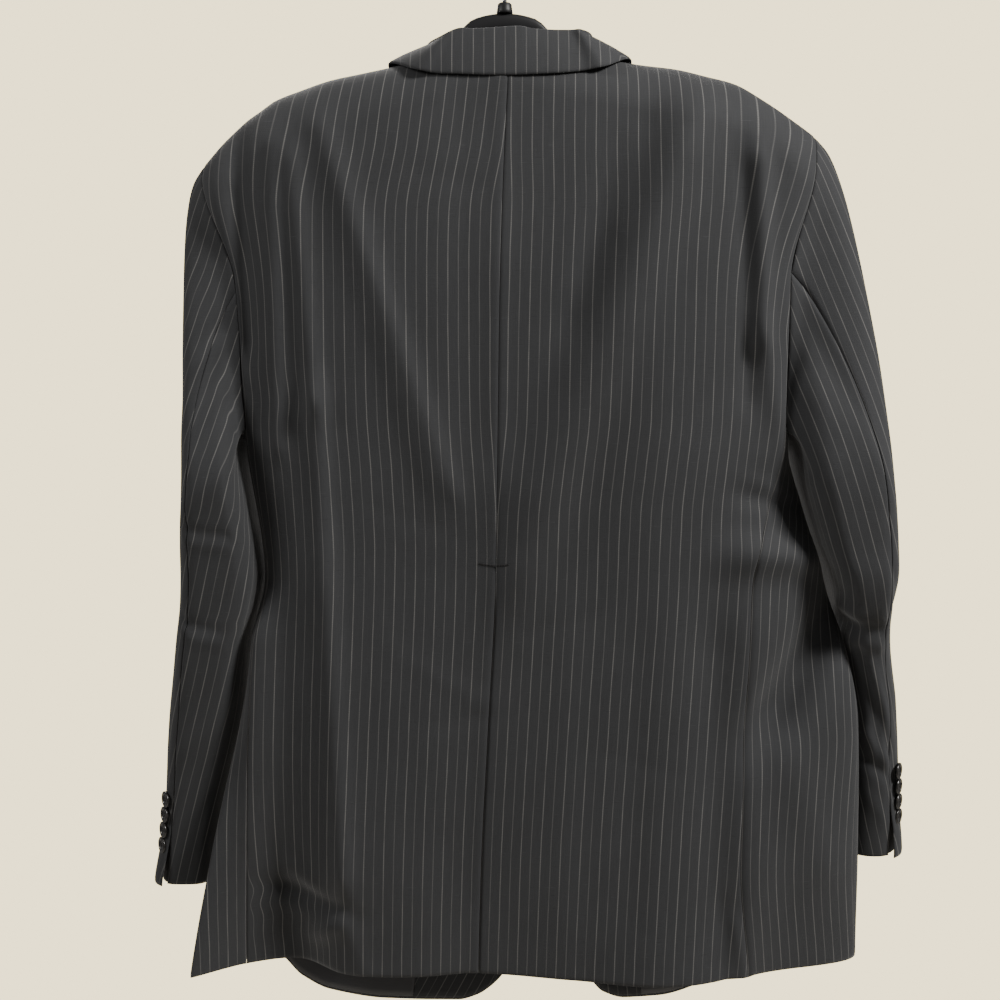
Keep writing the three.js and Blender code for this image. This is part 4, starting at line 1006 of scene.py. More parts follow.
def sleeve_creases(name, points, normals, turn):
    """Moves the sleeve's points out and in along its creases, with slow unevenness.

    At the armhole nothing moves.
    """
    z = points[..., 2]
    signed = np.where(turn > 180, turn - 360, turn)
    folds = [
        (from_angle * CREASE_SCALE, from_z, to_angle * CREASE_SCALE, to_z, width, depth)
        for from_angle, from_z, to_angle, to_z, width, depth in SLEEVE_CREASES[name]
    ]
    depth = fold_depth(folds, signed * CREASE_SCALE, z)
    depth += 0.8 * ripple(points[..., 1], z, 120, 11) + 0.35 * ripple(points[..., 1], z, 40, 13)
    held = smoothstep(np.arange(len(points)) / 14.0)[:, None]
    return points + normals * (depth * held)[..., None]


def level_with(target, value, weight, height=None):
    """value moved to match target over the weight: by one amount, or by a straight line in height."""
    if height is None:
        return value + np.sum((target - value) * weight) / np.sum(weight)
    slope, level = np.polyfit(height.ravel(), (target - value).ravel(), 1, w=np.sqrt(weight).ravel())
    return value + level + slope * height


def run_round(u, points, normals, side, sections):
    """Carries the upper sleeve's stripes from its back round the outer flank to its front.

    u is kept on the back. On the flank it follows the distance fore and aft from the sleeve's
    centre line, and in front the distance sideways from it. Each lies level, or on an even slope
    down the sleeve, with the one before it where the two meet.
    """
    centre_x, centre_y, _, half_y, _ = np.moveaxis(sections, -1, 0)
    facing = np.degrees(np.arctan2(normals[..., 1], side * normals[..., 0]))
    flank = points[..., 1] - centre_y
    front = side * (points[..., 0] - centre_x)
    ahead = -flank / half_y
    flank = level_with(u, flank, np.exp(-((ahead - 0.2) / 0.1) ** 2), points[..., 2])
    front = level_with(flank, front, np.exp(-((facing + 48) / 9) ** 2))
    u = mix(u, flank, smoothstep((ahead + 0.15) / 0.8))
    return mix(u, front, smoothstep((-24 - facing) / 44))


def sleeve(name, materials):
    """Upper and under sleeve, cut apart at the hind and fore seams, with what lies behind them.

    The upper one's edge stands away from the under one along the cuff's open vent. A strip of turned-in
    cloth lies behind the fore seam, and the under one's placket behind the vent.
    """
    arm = SLEEVES[name]
    points, normals, turn, around, fore = sleeve_grid(name)
    points = sleeve_creases(name, points, normals, turn)
    z = points[..., 2]
    lean_z = np.linspace(-1000, -80, 400)
    drift = running(arm["lean"](lean_z)[:-1, 0] * np.diff(lean_z), 0)
    shift = np.interp(z, lean_z, drift)
    pieces = {}
    for part, columns in (("under", slice(0, fore + 1)), ("upper", slice(fore, None))):
        grid, grid_normal = points[:, columns].copy(), normals[:, columns]
        seam_x = arm["side"] * points[:, :1, 0]
        u = around[:, columns] - seam_x - shift[:, columns]
        if part == "upper":
            u += UPPER_STRIPE - around[:, -1:]
            sections = arm["sections"](np.minimum(z[:, columns], SLEEVE_TOP_Z))
            u = run_round(u, grid, grid_normal, arm["side"], sections)
            below = (arm["cuff_z"] + CUFF_SLIT - z[:, columns]) / CUFF_SLIT
            near = smoothstep(1 - (around[:, -1:] - around[:, columns]) / FLARE_REACH)
            flare = CUFF_FLARE * smoothstep(below) * near
            grid += grid_normal * flare[..., None]
        uv = np.stack([u, -grid[..., 2]], axis=-1)
        inner = turned_up(grid, arm["cuff_z"])
        piece = f"sleeve_cloth_{part}_{name}"
        grid = pulled_in(grid, SLEEVE_SEAM_GAP, ("first", "last"))
        pieces[part] = wall(piece, grid, grid_normal, uv, materials, WALL, inner)
    strip = np.s_[ALLOWANCE_TOP_ROW:, fore - 4:fore + 5]
    inside = points[strip] - normals[strip] * (WALL + ALLOWANCE_GAP)
    uv = np.stack([inside[..., 0], -inside[..., 2]], axis=-1)
    piece = f"seam_allowance_sleeve_{name}"
    pieces["allowance"] = wall(piece, inside, normals[strip], uv, materials, ALLOWANCE_WALL, 0)
    strip = np.s_[z[:, -1] < arm["cuff_z"] + PLACKET_HEIGHT, -PLACKET_COLUMNS:]
    under = points[strip] - normals[strip] * (WALL + LYING_GAP)
    uv = np.stack([under[..., 1], -under[..., 2]], axis=-1)
    pieces["placket"] = wall(f"cuff_placket_{name}", under, normals[strip], uv, materials, LINING_WALL, 0)
    return pieces


# ---------------------------------------------------------------- what lies on the panels


def patch(name, stations, height, drops, materials, columns=40, rows=20):
    """A flat piece made from the body's points, moved out. height is a function of the station."""
    s, drop = np.meshgrid(np.linspace(*stations, columns), np.linspace(*drops, rows))
    points, _, _, normals = body_frame(s, row_at(s, height(s) - drop))
    side = 1 if stations[0] > 0 else -1
    edge = smoothstep(np.minimum(np.arange(rows)[:, None], np.arange(rows)[::-1, None]) / 3.0)
    points = points + normals * (WALL + LYING_GAP + 0.3 * edge)[..., None]
    uv = panel_uv(s, points, side, False, STATIONS)
    return wall(name, points, normals, uv, materials, WALL - 0.3)


def front_inside(name, side, first, last, materials, columns):
    """Lining or facing behind a front: the panel's own rows, moved in past its wall."""
    s, r = body_grid(np.linspace(first, last, columns) * side, 0.4, ALL_ROWS - INSIDE_SHORT, 150)
    points, _, _, normals = body_frame(s, r)
    points = points - normals * (WALL + LINING_GAP)
    uv = panel_uv(s, points, side, False, STATIONS)
    points = pulled_in(points, SEAM_GAP, ("first", "last"))
    return wall(name, points, normals, uv, materials, LINING_WALL, 0)


BUTTON_RINGS = (
    0, 0.04, 0.09, 0.13, 0.17, 0.21, 0.25, 0.29, 0.33, 0.38, 0.45, 0.52, 0.6, 0.66, 0.72, 0.78, 0.84, 0.9,
    0.95, 0.985, 1.0,
)


def button_mesh(name, centre, normal, size, materials):
    """A sewn button: a dished disc with a raised rim, four holes sunk through its face, and threads.

    The face is a grid of radius and angle, and its height is the profile less a round pit at each hole.
    """
    radius, thickness = size["radius"], size["thickness"]
    share = np.array(BUTTON_RINGS)[:, None]
    angle = np.arange(48) * 2 * math.pi / 48
    x = share * radius * np.cos(angle)
    y = share * radius * np.sin(angle)
    rim = smoothstep((share - 0.58) / 0.14) * (1 - smoothstep((share - 0.9) / 0.1) * 0.35)
    height = thickness * (0.62 + 0.38 * rim) + 0 * angle
    spread, hole = radius * 0.2, radius * 0.09
    for turn in np.arange(1, 8, 2) * math.pi / 4:
        away = np.hypot(x - spread * math.cos(turn), y - spread * math.sin(turn))
        height = height - thickness * 0.4 * (1 - smoothstep(away / hole - 0.5))
    face = np.stack([x, y, height], axis=-1)[::-1]
    under = np.stack([x, y, 0 * x + thickness * 0.3 * smoothstep((share - 0.8) / 0.2)], axis=-1)
    points = np.concatenate([under, face])
    flat = [points.reshape(-1, 3)]
    faces = [round_faces(len(points), len(angle))]
    for offset in (-1, 1):
        for lane in (-0.035, 0, 0.035):
            t = np.linspace(-1, 1, 9)
            path = np.stack([
                t * spread * 0.72, 0 * t + offset * spread * 0.72 + lane * radius,
                thickness * (0.63 + 0.1 * np.sqrt(1 - t * t) - 0.25 * (np.abs(t) == 1)),
            ], axis=-1)
            faces.append(round_faces(len(path), 5, sum(len(part) for part in flat)))
            flat.append(tube_points(path, 0.16, 5).reshape(-1, 3))
    kinds = np.repeat([0, 1], [len(faces[0]), sum(len(part) for part in faces[1:])])
    flat, faces = np.concatenate(flat), np.concatenate(faces)
    out = unit(np.asarray(normal, float))
    first = unit(np.cross([0.0, 0, 1.0], out))
    second = np.cross(out, first)
    placed = centre + flat @ np.stack([first, second, out]) + out * LAYER_GAP
    return closed_up(make_object(name, placed, faces, flat[:, :2], kinds, materials))


def station_at(x, z):
    """The station of the left front that stands at x and height z, by halving."""
    low, high = 7.0, 9.0
    for _ in range(40):
        middle = (low + high) / 2
        if section_point(middle, z)[0] > x:
            low = middle
        else:
            high = middle
    return low


def buttonhole(name, centre, along, normal, length, material):
    """A worked buttonhole: short threads side by side round a slot with a round eye."""
    t = np.linspace(0, 1, 6)[:, None]
    reach = np.cross(normal, along) * (0.35 + 1.1 * t)
    arc = normal * (0.35 * np.sin(t * math.pi) + 0.25)
    paths = [
        centre + along * at * length + reach * side + arc
        for at in np.linspace(-0.5, 0.5, 26) for side in (-1, 1)
    ]
    return tubes(name, paths, 0.28, material, 5)


# ---------------------------------------------------------------- hanger


def bar_z(x):
    """Height of the bar's middle line: a dome in the neck, then straight under the shoulder seams."""
    away = np.abs(x - HOOK["x"])
    dome = BOSS["bottom_z"] - BAR["half_height"] - BAR["dome_drop"] * (away / BAR["dome_width"]) ** 2
    shoulder = ridge_z(x) - WALL - BAR["clearance"] - BAR["half_height"]
    return mix(dome, shoulder, smoothstep((away - BAR["dome_end"]) / BAR["dome_width"]))


def hanger_bar(material):
    """The bar: upright rounded sections along its line, growing out of rounded tips."""
    share = (1 - np.cos(np.linspace(0, math.pi, 121))) / 2
    x = mix(BAR["right_tip"], BAR["left_tip"], share)
    size = np.sqrt(np.clip(1 - (1 - np.clip(np.minimum(share, 1 - share) * 60, 0, 1)) ** 2, 0, 1))
    angle = np.arange(24) * 2 * math.pi / 24

    def rounded(value):
        return np.sign(value) * np.abs(value) ** 0.7

    y = RIDGE_Y + BAR["half_thickness"] * size[:, None] * rounded(np.cos(angle))
    z = bar_z(x)[:, None] + BAR["half_height"] * size[:, None] * rounded(np.sin(angle))
    points = np.stack([np.repeat(x[:, None], 24, axis=1), y, z], axis=-1)
    return solid("hanger_bar_moulded", points, round_faces(len(x), 24), material)


def hanger_boss(material):
    """The collar of the hook: a turned neck with rounded edges."""
    foot = bar_z(np.array(float(HOOK["x"]))) + BAR["half_height"] - 0.4
    top, wide = BOSS["top_z"], BOSS["radius"]
    profile = [
        (0, foot), (wide * 0.9, foot), (wide, foot + 0.8), (wide * 0.95, foot + 3), (wide * 0.86, top - 1.6),
        (wide * 0.7, top - 0.4), (wide * 0.45, top), (0, top),
    ]
    points = lathe(profile, 32) + np.array([HOOK["x"], RIDGE_Y, 0.0])
    return solid("hanger_boss_moulded", points, round_faces(len(profile), 32), material)


def hanger_hook(material):
    """The wire hook: an arc round the rod, then down to the boss, with a rounded tip."""
    middle_x, inside = HOOK["x"], HOOK["inner_radius"]
    radius = inside + HOOK["wire"] / 2
    turn = np.radians(np.arange(HOOK["tip_angle"], HOOK["neck_angle"] + 1, 15))
    x, z = middle_x + radius * np.cos(turn), -inside + radius * np.sin(turn)
    x = np.append(x, (middle_x - 3, middle_x, middle_x))
    z = np.append(z, (z[-1] - 6, z[-1] - 14, BOSS["top_z"]))
    coarse = np.stack([x, np.full(len(x), RIDGE_Y), z], axis=-1)
    path = lofted(coarse[:, None].repeat(2, axis=1), 8, 1)[:, 0]
    thick = np.full(len(path), HOOK["wire"] / 2)
    thick[:4] *= (0.35, 0.7, 0.9, 0.98)
    return tubes("hanger_hook_wire", [path], thick, material, 16)


# ---------------------------------------------------------------- materials


class Nodes:
    """A small helper that adds and joins the nodes of one material."""

    def __init__(self, name):
        self.material = bpy.data.materials.new(name)
        self.material.use_nodes = True
        self.tree = self.material.node_tree
        self.shader = self.tree.nodes["Principled BSDF"]

    def add(self, kind, **values):
        """Adds a node and sets its properties."""
        node = self.tree.nodes.new(kind)
        for key, value in values.items():
            setattr(node, key, value)
        return node

    def cloth(self):
        """The cloth's own coordinates, in metres."""
        return self.add("ShaderNodeUVMap", uv_map="cloth").outputs["UV"]

    def place(self):
        """Object coordinates, in metres."""
        return self.add("ShaderNodeTexCoord").outputs["Object"]

    def colour(self, source):
        """Joins a socket to the shader's colour."""
        self.join(source, self.shader.inputs["Base Color"])

    def join(self, source, target):
        """Links an output to an input."""
        self.tree.links.new(source, target)

    def fill(self, node, values):
        """Sets a node's inputs to numbers and colours, or joins sockets to them."""
        for key, value in values.items():
            if isinstance(value, (int, float, tuple)):
                node.inputs[key].default_value = value
            else:
                self.join(value, node.inputs[key])

    def math(self, operation, *values):
        """A Math node on sockets or numbers."""
        node = self.add("ShaderNodeMath", operation=operation)
        self.fill(node, dict(enumerate(values)))
        return node.outputs[0]

    def ranged(self, value, low, high, to_low, to_high):
        """A smooth step of a socket from one range to another."""
        node = self.add("ShaderNodeMapRange", interpolation_type="SMOOTHSTEP")
        ends = {"From Min": low, "From Max": high, "To Min": to_low, "To Max": to_high}
        self.fill(node, {"Value": value, **ends})
        return node.outputs["Result"]

    def noise(self, vector, scale, detail=2.0, roughness=0.5):
        """A noise texture's value."""
        node = self.add("ShaderNodeTexNoise")
        self.fill(node, {"Vector": vector, "Scale": scale, "Detail": detail, "Roughness": roughness})
        return node.outputs["Fac"]

    def stretched(self, vector, scale):
        """The vector scaled along each of its axes."""
        node = self.add("ShaderNodeMapping")
        self.fill(node, {"Vector": vector, "Scale": scale})
        return node.outputs["Vector"]

    def mixed(self, share, first, second):
        """A colour mix of two sockets or colours."""
        node = self.add("ShaderNodeMix", data_type="RGBA")
        self.fill(node, {0: share, 6: first, 7: second})
        return node.outputs[2]

    def bump(self, height, strength, distance):
        """A bump on the shader's normal."""
        node = self.add("ShaderNodeBump")
        self.fill(node, {"Height": height, "Strength": strength, "Distance": distance})
        self.join(node.outputs["Normal"], self.shader.inputs["Normal"])

    def finish(self, **values):
        """Sets the shader's own sockets and returns the material."""
        for key, value in values.items():
            self.shader.inputs[key.replace("_", " ")].default_value = value
        return self.material


def opaque(colour, share=1):
    """A colour made brighter or darker, with full alpha."""
    return (*(value * share for value in colour[:3]), 1.0)


def suiting(sizes, colours):
    """Charcoal worsted. Stripes stand on the cloth's own u, bright and dim in turn, and each is a row
    of pin dots. Fine slubs and small crease marks lie across it, lighter and darker, and the darker crease
    marks are painted shade; a twill line runs through it, and its tone drifts.
    """
    n = Nodes("suiting")
    uv = n.cloth()
    split = n.add("ShaderNodeSeparateXYZ")
    n.join(uv, split.inputs[0])
    u, v = split.outputs[0], split.outputs[1]
    waver = n.noise(n.stretched(uv, (30, 14, 1)), 1.0)
    u = n.math("ADD", u, n.math("MULTIPLY", n.math("SUBTRACT", waver, 0.5), 0.0012))
    turns = n.math("DIVIDE", u, sizes.stripe_pitch)
    near = n.math("ABSOLUTE", n.math("SUBTRACT", n.math("FRACT", n.math("ADD", turns, 0.5)), 0.5))
    away = n.math("MULTIPLY", near, sizes.stripe_pitch)
    half = sizes.stripe_width / 2
    line = n.ranged(away, half * 0.35, half * 1.5, 1.0, 0.0)
    odd = n.math("FLOORED_MODULO", n.math("FLOOR", n.math("ADD", turns, 0.5)), 2.0)
    strength = n.math("MULTIPLY_ADD", odd, -0.42, 1.0)
    dots = n.math("MULTIPLY_ADD", n.math("SINE", n.math("MULTIPLY", v, 2 * math.pi / 0.0016)), 0.16, 0.84)
    fade = n.ranged(n.noise(n.stretched(uv, (110, 36, 1)), 1.0, 3.0), 0.3, 0.6, 0.62, 1.0)
    stripe = n.math("MULTIPLY", n.math("MULTIPLY", line, strength), n.math("MULTIPLY", dots, fade))
    twill = n.math("SINE", n.math("MULTIPLY", n.math("ADD", u, v), 2 * math.pi / 0.0011))
    # Slubs and small horizontal crease marks, lighter and darker and also bumped; the darker marks are
    # painted shade of the creases.
    slub_and_crease_mark = n.noise(n.stretched(uv, (70, 900, 1)), 1.0, 3.0, 0.6)
    warp = n.noise(n.stretched(uv, (1500, 50, 1)), 1.0, 2.0)
    drift = n.noise(n.stretched(uv, (9, 7, 1)), 1.0, 3.0)
    light = n.ranged(slub_and_crease_mark, 0.62, 0.78, 0.0, 0.5)
    # Painted shade: the cloth is darker in the small crease marks, where this noise is low.
    crease_shade = n.ranged(slub_and_crease_mark, 0.2, 0.42, 0.3, 0.0)
    tone = n.math("ADD", n.math("MULTIPLY", n.math("SUBTRACT", drift, 0.5), 0.36),
                  n.math("MULTIPLY", n.math("SUBTRACT", warp, 0.5), 0.34))
    tone = n.math("ADD", n.math("ADD", tone, n.math("MULTIPLY", twill, 0.05)), 1.0)
    tone = n.math("ADD", tone, n.math("SUBTRACT", light, crease_shade))
    scaled = n.add("ShaderNodeVectorMath", operation="SCALE")
    scaled.inputs[0].default_value = tuple(colours.cloth)
    n.join(tone, scaled.inputs["Scale"])
    n.colour(n.mixed(stripe, scaled.outputs[0], opaque(colours.stripe)))
    yarn = n.math("ADD", slub_and_crease_mark, n.math("MULTIPLY", warp, 0.6))
    height = n.math("ADD", n.math("MULTIPLY", twill, 0.25), yarn)
    n.bump(height, 0.35, 0.0004)
    return n.finish(Roughness=0.78, Specular_IOR_Level=0.22, Sheen_Weight=0.12, Sheen_Roughness=0.45)


def satin(colours):
    """Dark lining: smooth, with fine weft lines and a soft gloss, and painted sheen: lighter colour on the
    crests of its crumpling.
    """
    n = Nodes("lining")
    uv = n.cloth()
    weft = n.noise(n.stretched(uv, (120, 1800, 1)), 1.0, 2.0)
    crumple_and_painted_sheen = n.noise(n.stretched(uv, (14, 9, 1)), 1.0, 3.0)
    # Painted sheen: the lining is mixed toward a copy half again as bright where the crumpling noise is
    # high, on the same crests that make the bump.
    share = n.ranged(crumple_and_painted_sheen, 0.3, 0.7, 0.0, 1.0)
    n.colour(n.mixed(share, opaque(colours.lining), opaque(colours.lining, 1.5)))
    n.bump(n.math("ADD", n.math("MULTIPLY", weft, 0.1), crumple_and_painted_sheen), 0.5, 0.003)
    return n.finish(Roughness=0.42, Specular_IOR_Level=0.45, Sheen_Weight=0.1)


def felt(colours):
    """Melton under the collar."""
    n = Nodes("collar_felt")
    fibre = n.noise(n.place(), 900.0, 3.0)
    n.colour(n.mixed(fibre, opaque(colours.cloth, 0.7), opaque(colours.cloth, 1.3)))
    n.bump(fibre, 0.4, 0.0005)
    return n.finish(Roughness=0.95, Specular_IOR_Level=0.15)


def horn(colours):
    """Dark horn: cloudy streaks under a polish."""
    n = Nodes("button_horn")
    cloud = n.noise(n.stretched(n.place(), (240, 240, 700)), 1.0, 4.0)
    share = n.ranged(cloud, 0.4, 0.7, 0.0, 1.0)
    n.colour(n.mixed(share, opaque(colours.button), opaque(colours.button, 2.6)))
    return n.finish(Roughness=0.28, Specular_IOR_Level=0.5, Coat_Weight=0.25, Coat_Roughness=0.15)


def thread(colours):
    """Sewing thread: fine twisted lines."""
    n = Nodes("sewing_thread")
    n.bump(n.noise(n.place(), 2600.0, 1.0), 0.4, 0.0002)
    return n.finish(Base_Color=opaque(colours.thread), Roughness=0.6, Specular_IOR_Level=0.3)


def moulding(colours):
    """Matt black moulded plastic with a fine grain."""
    n = Nodes("hanger_black")
    n.bump(n.noise(n.place(), 1400.0, 2.0), 0.25, 0.0002)
    return n.finish(Base_Color=opaque(colours.hanger), Roughness=0.5, Specular_IOR_Level=0.4)


def wire(colours):
    """Bright plated wire."""
    n = Nodes("hook_plated")
    worn = n.ranged(n.noise(n.place(), 260.0, 3.0), 0.3, 0.7, 0.16, 0.28)
    n.join(worn, n.shader.inputs["Roughness"])
    return n.finish(Base_Color=opaque(colours.hook), Metallic=1.0)


def floor_paint(colours):
    """Plain pale floor."""
    n = Nodes("floor_pale")
    return n.finish(Base_Color=opaque(colours.floor), Roughness=0.8, Specular_IOR_Level=0.2)


FINISHES = {
    "lining": satin, "felt": felt, "button": horn, "thread": thread, "hanger": moulding, "hook": wire,
    "floor": floor_paint,
}
made_finishes = {}


def finish_of(kind):
    """The material of a kind, made once from the colours set for this object."""
    scene = bpy.context.scene
    if kind not in made_finishes:
        if kind == "suiting":
            made_finishes[kind] = suiting(scene.blazer_sizes, scene.blazer_colours)
        else:
            made_finishes[kind] = FINISHES[kind](scene.blazer_colours)
    return made_finishes[kind]


# ---------------------------------------------------------------- what each piece is


def declared(piece, nodes=()):
    """Attaches a piece to the root body, and hides the imported solids of the nodes it stands for."""
    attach(piece, "root")
    if nodes:
        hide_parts(*nodes)
    return piece


CLOTH = ("suiting", "lining")


def finishes(*kinds):
    """Materials of the given kinds."""
    return [finish_of(kind) for kind in kinds]


class BlazerSizes(bpy.types.PropertyGroup):
    """Sizes of the cloth's pattern and of the stage."""

    stripe_pitch: bpy.props.FloatProperty(
        name="Stripe pitch", description="Distance from one pinstripe to the next", default=0.0089,
        min=0.002, unit="LENGTH",
    )
    stripe_width: bpy.props.FloatProperty(
        name="Stripe width", description="Width of a pinstripe", default=0.0009, min=0.0002, unit="LENGTH",
    )
    floor_drop: bpy.props.FloatProperty(
        name="Floor below the hook", description="How far the floor lies below the hook's crown",
        default=1.75, min=1.0, unit="LENGTH",
    )
    floor_radius: bpy.props.FloatProperty(
        name="Floor radius", description="Radius of the round floor", default=1.35, min=0.5, unit="LENGTH",
    )


def colour_setting(name, description, default):
    """A colour that can be changed."""
    return bpy.props.FloatVectorProperty(
        name=name, description=description, default=default, subtype="COLOR", min=0, max=1,
    )


class BlazerColours(bpy.types.PropertyGroup):
    """Colours of cloth, trim, hanger and stage."""

    cloth: colour_setting("Cloth", "Ground of the suiting", (0.0290, 0.0298, 0.0318))
    stripe: colour_setting("Stripe", "Pinstripe", (0.125, 0.122, 0.118))
    lining: colour_setting("Lining", "Satin lining", (0.014, 0.014, 0.017))
    button: colour_setting("Button", "Dark horn", (0.010, 0.009, 0.008))
    thread: colour_setting("Thread", "Sewing thread", (0.022, 0.021, 0.021))
    hanger: colour_setting("Hanger", "Moulded bar", (0.006, 0.006, 0.007))
    hook: colour_setting("Hook", "Plated wire", (0.62, 0.63, 0.65))
    floor: colour_setting("Floor", "Pale floor", (0.72, 0.68, 0.61))
    surround: colour_setting("Surround", "Pale light from all round", (1.0, 0.86, 0.52))


class BLAZER_OT_back(bpy.types.Operator):
    """Adds both back panels, the vent's underlap and its bar tack"""

    bl_idname = "blazer.back"
    bl_label = "Back panels"

    def execute(self, context):
        cloth = finishes(*CLOTH)
        edges = ("first", "last", "top")
        ends = (0, SIDE_SEAM)
        for name, columns in (("left", 84), ("right", 88)):
            panel = body_panel(f"back_cloth_{name}", SIDES[name], ends, (columns, 212), 0, edges, cloth)
            declared(panel, [f"back_{name}"])
        declared(vent_underlap(cloth), ())
        declared(bar_tack(finish_of("thread")))
        for name, station, bottom_z in (
            ("centre", 0, VENT_TOP_Z), ("left", SIDE_SEAM, HEM_Z + 4), ("right", -SIDE_SEAM, HEM_Z + 4),
        ):
            top_z = 0 if station == 0 else UNDERARM_Z - 12
            strip = seam_allowance(f"seam_allowance_{name}", station, top_z, bottom_z, cloth)
            declared(strip, ())
        return {"FINISHED"}


class BLAZER_OT_sides(bpy.types.Operator):
    """Adds the side panels under the arms"""

    bl_idname = "blazer.sides"
    bl_label = "Side panels"

    def execute(self, context):
        cloth = finishes(*CLOTH)
        edges = ("first", "last")
        ends = (SIDE_SEAM, FRONT_SEAM)
        for name, columns in (("left", 46), ("right", 56)):
            size = (columns, 132)
            panel = body_panel(
                f"side_cloth_{name}", SIDES[name], ends, size, UNDERARM_ROW, edges, cloth, SIDE_SEAM,
            )
            declared(panel, [f"side_{name}"])
        return {"FINISHED"}


class BLAZER_OT_fronts(bpy.types.Operator):
    """Adds the fronts with the facings and linings behind them"""

    bl_idname = "blazer.fronts"
    bl_label = "Fronts"

    def execute(self, context):
        cloth = finishes(*CLOTH)
        edges = ("first", "top")
        ends = (FRONT_SEAM, STATIONS)
        for name, side in SIDES.items():
            panel = body_panel(f"front_cloth_{name}", side, ends, (76, 200), 0, edges, cloth, STATIONS)
            declared(panel, [f"front_{name}"])
            strip = seam_allowance(
                f"seam_allowance_front_{name}", FRONT_SEAM * side, UNDERARM_Z - 12, HEM_Z + 2, cloth, 0.1,
            )
            declared(strip, ())
            lining = front_inside(f"lining_cloth_{name}", side, *LINING_ENDS, finishes("lining"), 40)
            declared(lining, [f"lining_{name}"])
            facing = front_inside(f"facing_cloth_{name}", side, *FACING_ENDS, finishes("suiting"), 26)
            declared(facing, [f"facing_{name}"])
        return {"FINISHED"}


class BLAZER_OT_collar(bpy.types.Operator):
    """Adds the collar and both lapels"""

    bl_idname = "blazer.collar"
    bl_label = "Collar and lapels"

    def execute(self, context):
        piece = collar(finishes("suiting", "felt"))
        declared(piece, ["collar"])
        for name in SIDES:
            turned = lapel(name, finishes("suiting"))
            declared(turned, [f"lapel_{name}"])
        return {"FINISHED"}


class BLAZER_OT_sleeves(bpy.types.Operator):
    """Adds upper and under sleeves"""

    bl_idname = "blazer.sleeves"
    bl_label = "Sleeves"

    def execute(self, context):
        for name in SIDES:
            for part, piece in sleeve(name, finishes(*CLOTH)).items():
                nodes = [f"sleeve_{part}_{name}"] if part in ("upper", "under") else []
                declared(piece, nodes)
        return {"FINISHED"}


def flap_height(s):
    """Upper edge of a pocket flap."""
    return -700 + 22 * (np.abs(s) - 8)


def welt_height(s):
    """Upper edge of the breast welt."""
    return -392 + 30 * (np.abs(s) - 8)


class BLAZER_OT_pockets(bpy.types.Operator):
    """Adds the pocket flaps and the breast welt"""

    bl_idname = "blazer.pockets"
    bl_label = "Pockets"

    def execute(self, context):
        cloth = finishes(*CLOTH)
        for name, side in SIDES.items():
            ends = (7.22 * side, 8.42 * side)
            flap = patch(f"pocket_flap_cloth_{name}", ends, flap_height, (0, 54), cloth)
            declared(flap, [f"pocket_flap_{name}"])
        welt = patch("breast_welt_cloth", (7.22, 7.92), welt_height, (0, 24), cloth, 30, 12)
        declared(welt, ["breast_welt"])
        return {"FINISHED"}


class BLAZER_OT_buttons(bpy.types.Operator):
    """Adds the front and cuff buttons with their threads and buttonholes"""

    bl_idname = "blazer.buttons"
    bl_label = "Buttons"

    def execute(self, context):
        kinds = finishes("button", "thread")
        for name, z in zip(("upper", "lower"), FRONT_BUTTON["z"]):
            s = station_at(FRONT_BUTTON["x"], z)
            centre, across, _, normal = (value.reshape(3) for value in body_frame(s, row_at(s, z)))
            node = f"front_button_{name}"
            button = button_mesh(f"{node}_turned", centre, normal, FRONT_BUTTON, kinds)
            declared(button, [node])
            hole = buttonhole(f"buttonhole_{name}", centre - across * 4, across, normal, 22, kinds[1])
            declared(hole)
        for name, arm in SLEEVES.items():
            side, sections = arm["side"], arm["sections"]
            for i in range(CUFF_BUTTON["count"]):
                z = np.array(arm["cuff_z"] + CUFF_BUTTON["above_cuff"] + CUFF_BUTTON["pitch"] * i)
                centre, after, before, below, above = (
                    sleeve_point(sections, side, CUFF_BUTTON_ANGLE + turn, z + rise)
                    for turn, rise in ((0, 0), (4, 0), (-4, 0), (0, -4), (0, 4))
                )
                normal = unit(np.cross(below - above, after - before)) * side
                node = f"cuff_button_{name}_{i + 1}"
                button = button_mesh(f"{node}_turned", centre, normal, CUFF_BUTTON, kinds)
                declared(button, [node])
        return {"FINISHED"}


class BLAZER_OT_hanger(bpy.types.Operator):
    """Adds the hanger's bar, boss and hook"""

    bl_idname = "blazer.hanger"
    bl_label = "Hanger"

    def execute(self, context):
        declared(hanger_bar(finish_of("hanger")), ["hanger_bar"])
        declared(hanger_boss(finish_of("hanger")), ["hanger_boss"])
        declared(hanger_hook(finish_of("hook")), ["hanger_hook"])
        return {"FINISHED"}


CAMERA_PLACE = (0.004, 1.23976, -0.332)  # metres
CAMERA_TILT = 7.5  # degrees down
NEAR_WHITE = (1.0, 0.985, 0.96)
WARM_WHITE = (1.0, 0.97, 0.93, 1.0)


def area_light(name, place, target, size, power, colour):
    """A soft rectangular light that faces a point."""
    data = bpy.data.lights.new(name, "AREA")
    data.shape = "SQUARE"
    data.size = size
    data.energy = power
    data.color = colour
    light = bpy.data.objects.new(name, data)
    light.location = place
    away = np.array(place) - np.array(target)
    light.rotation_euler = (
        math.atan2(math.hypot(away[0], away[1]), away[2]), 0, math.atan2(away[0], -away[1])
    )
    bpy.context.scene.collection.objects.link(light)
    return light


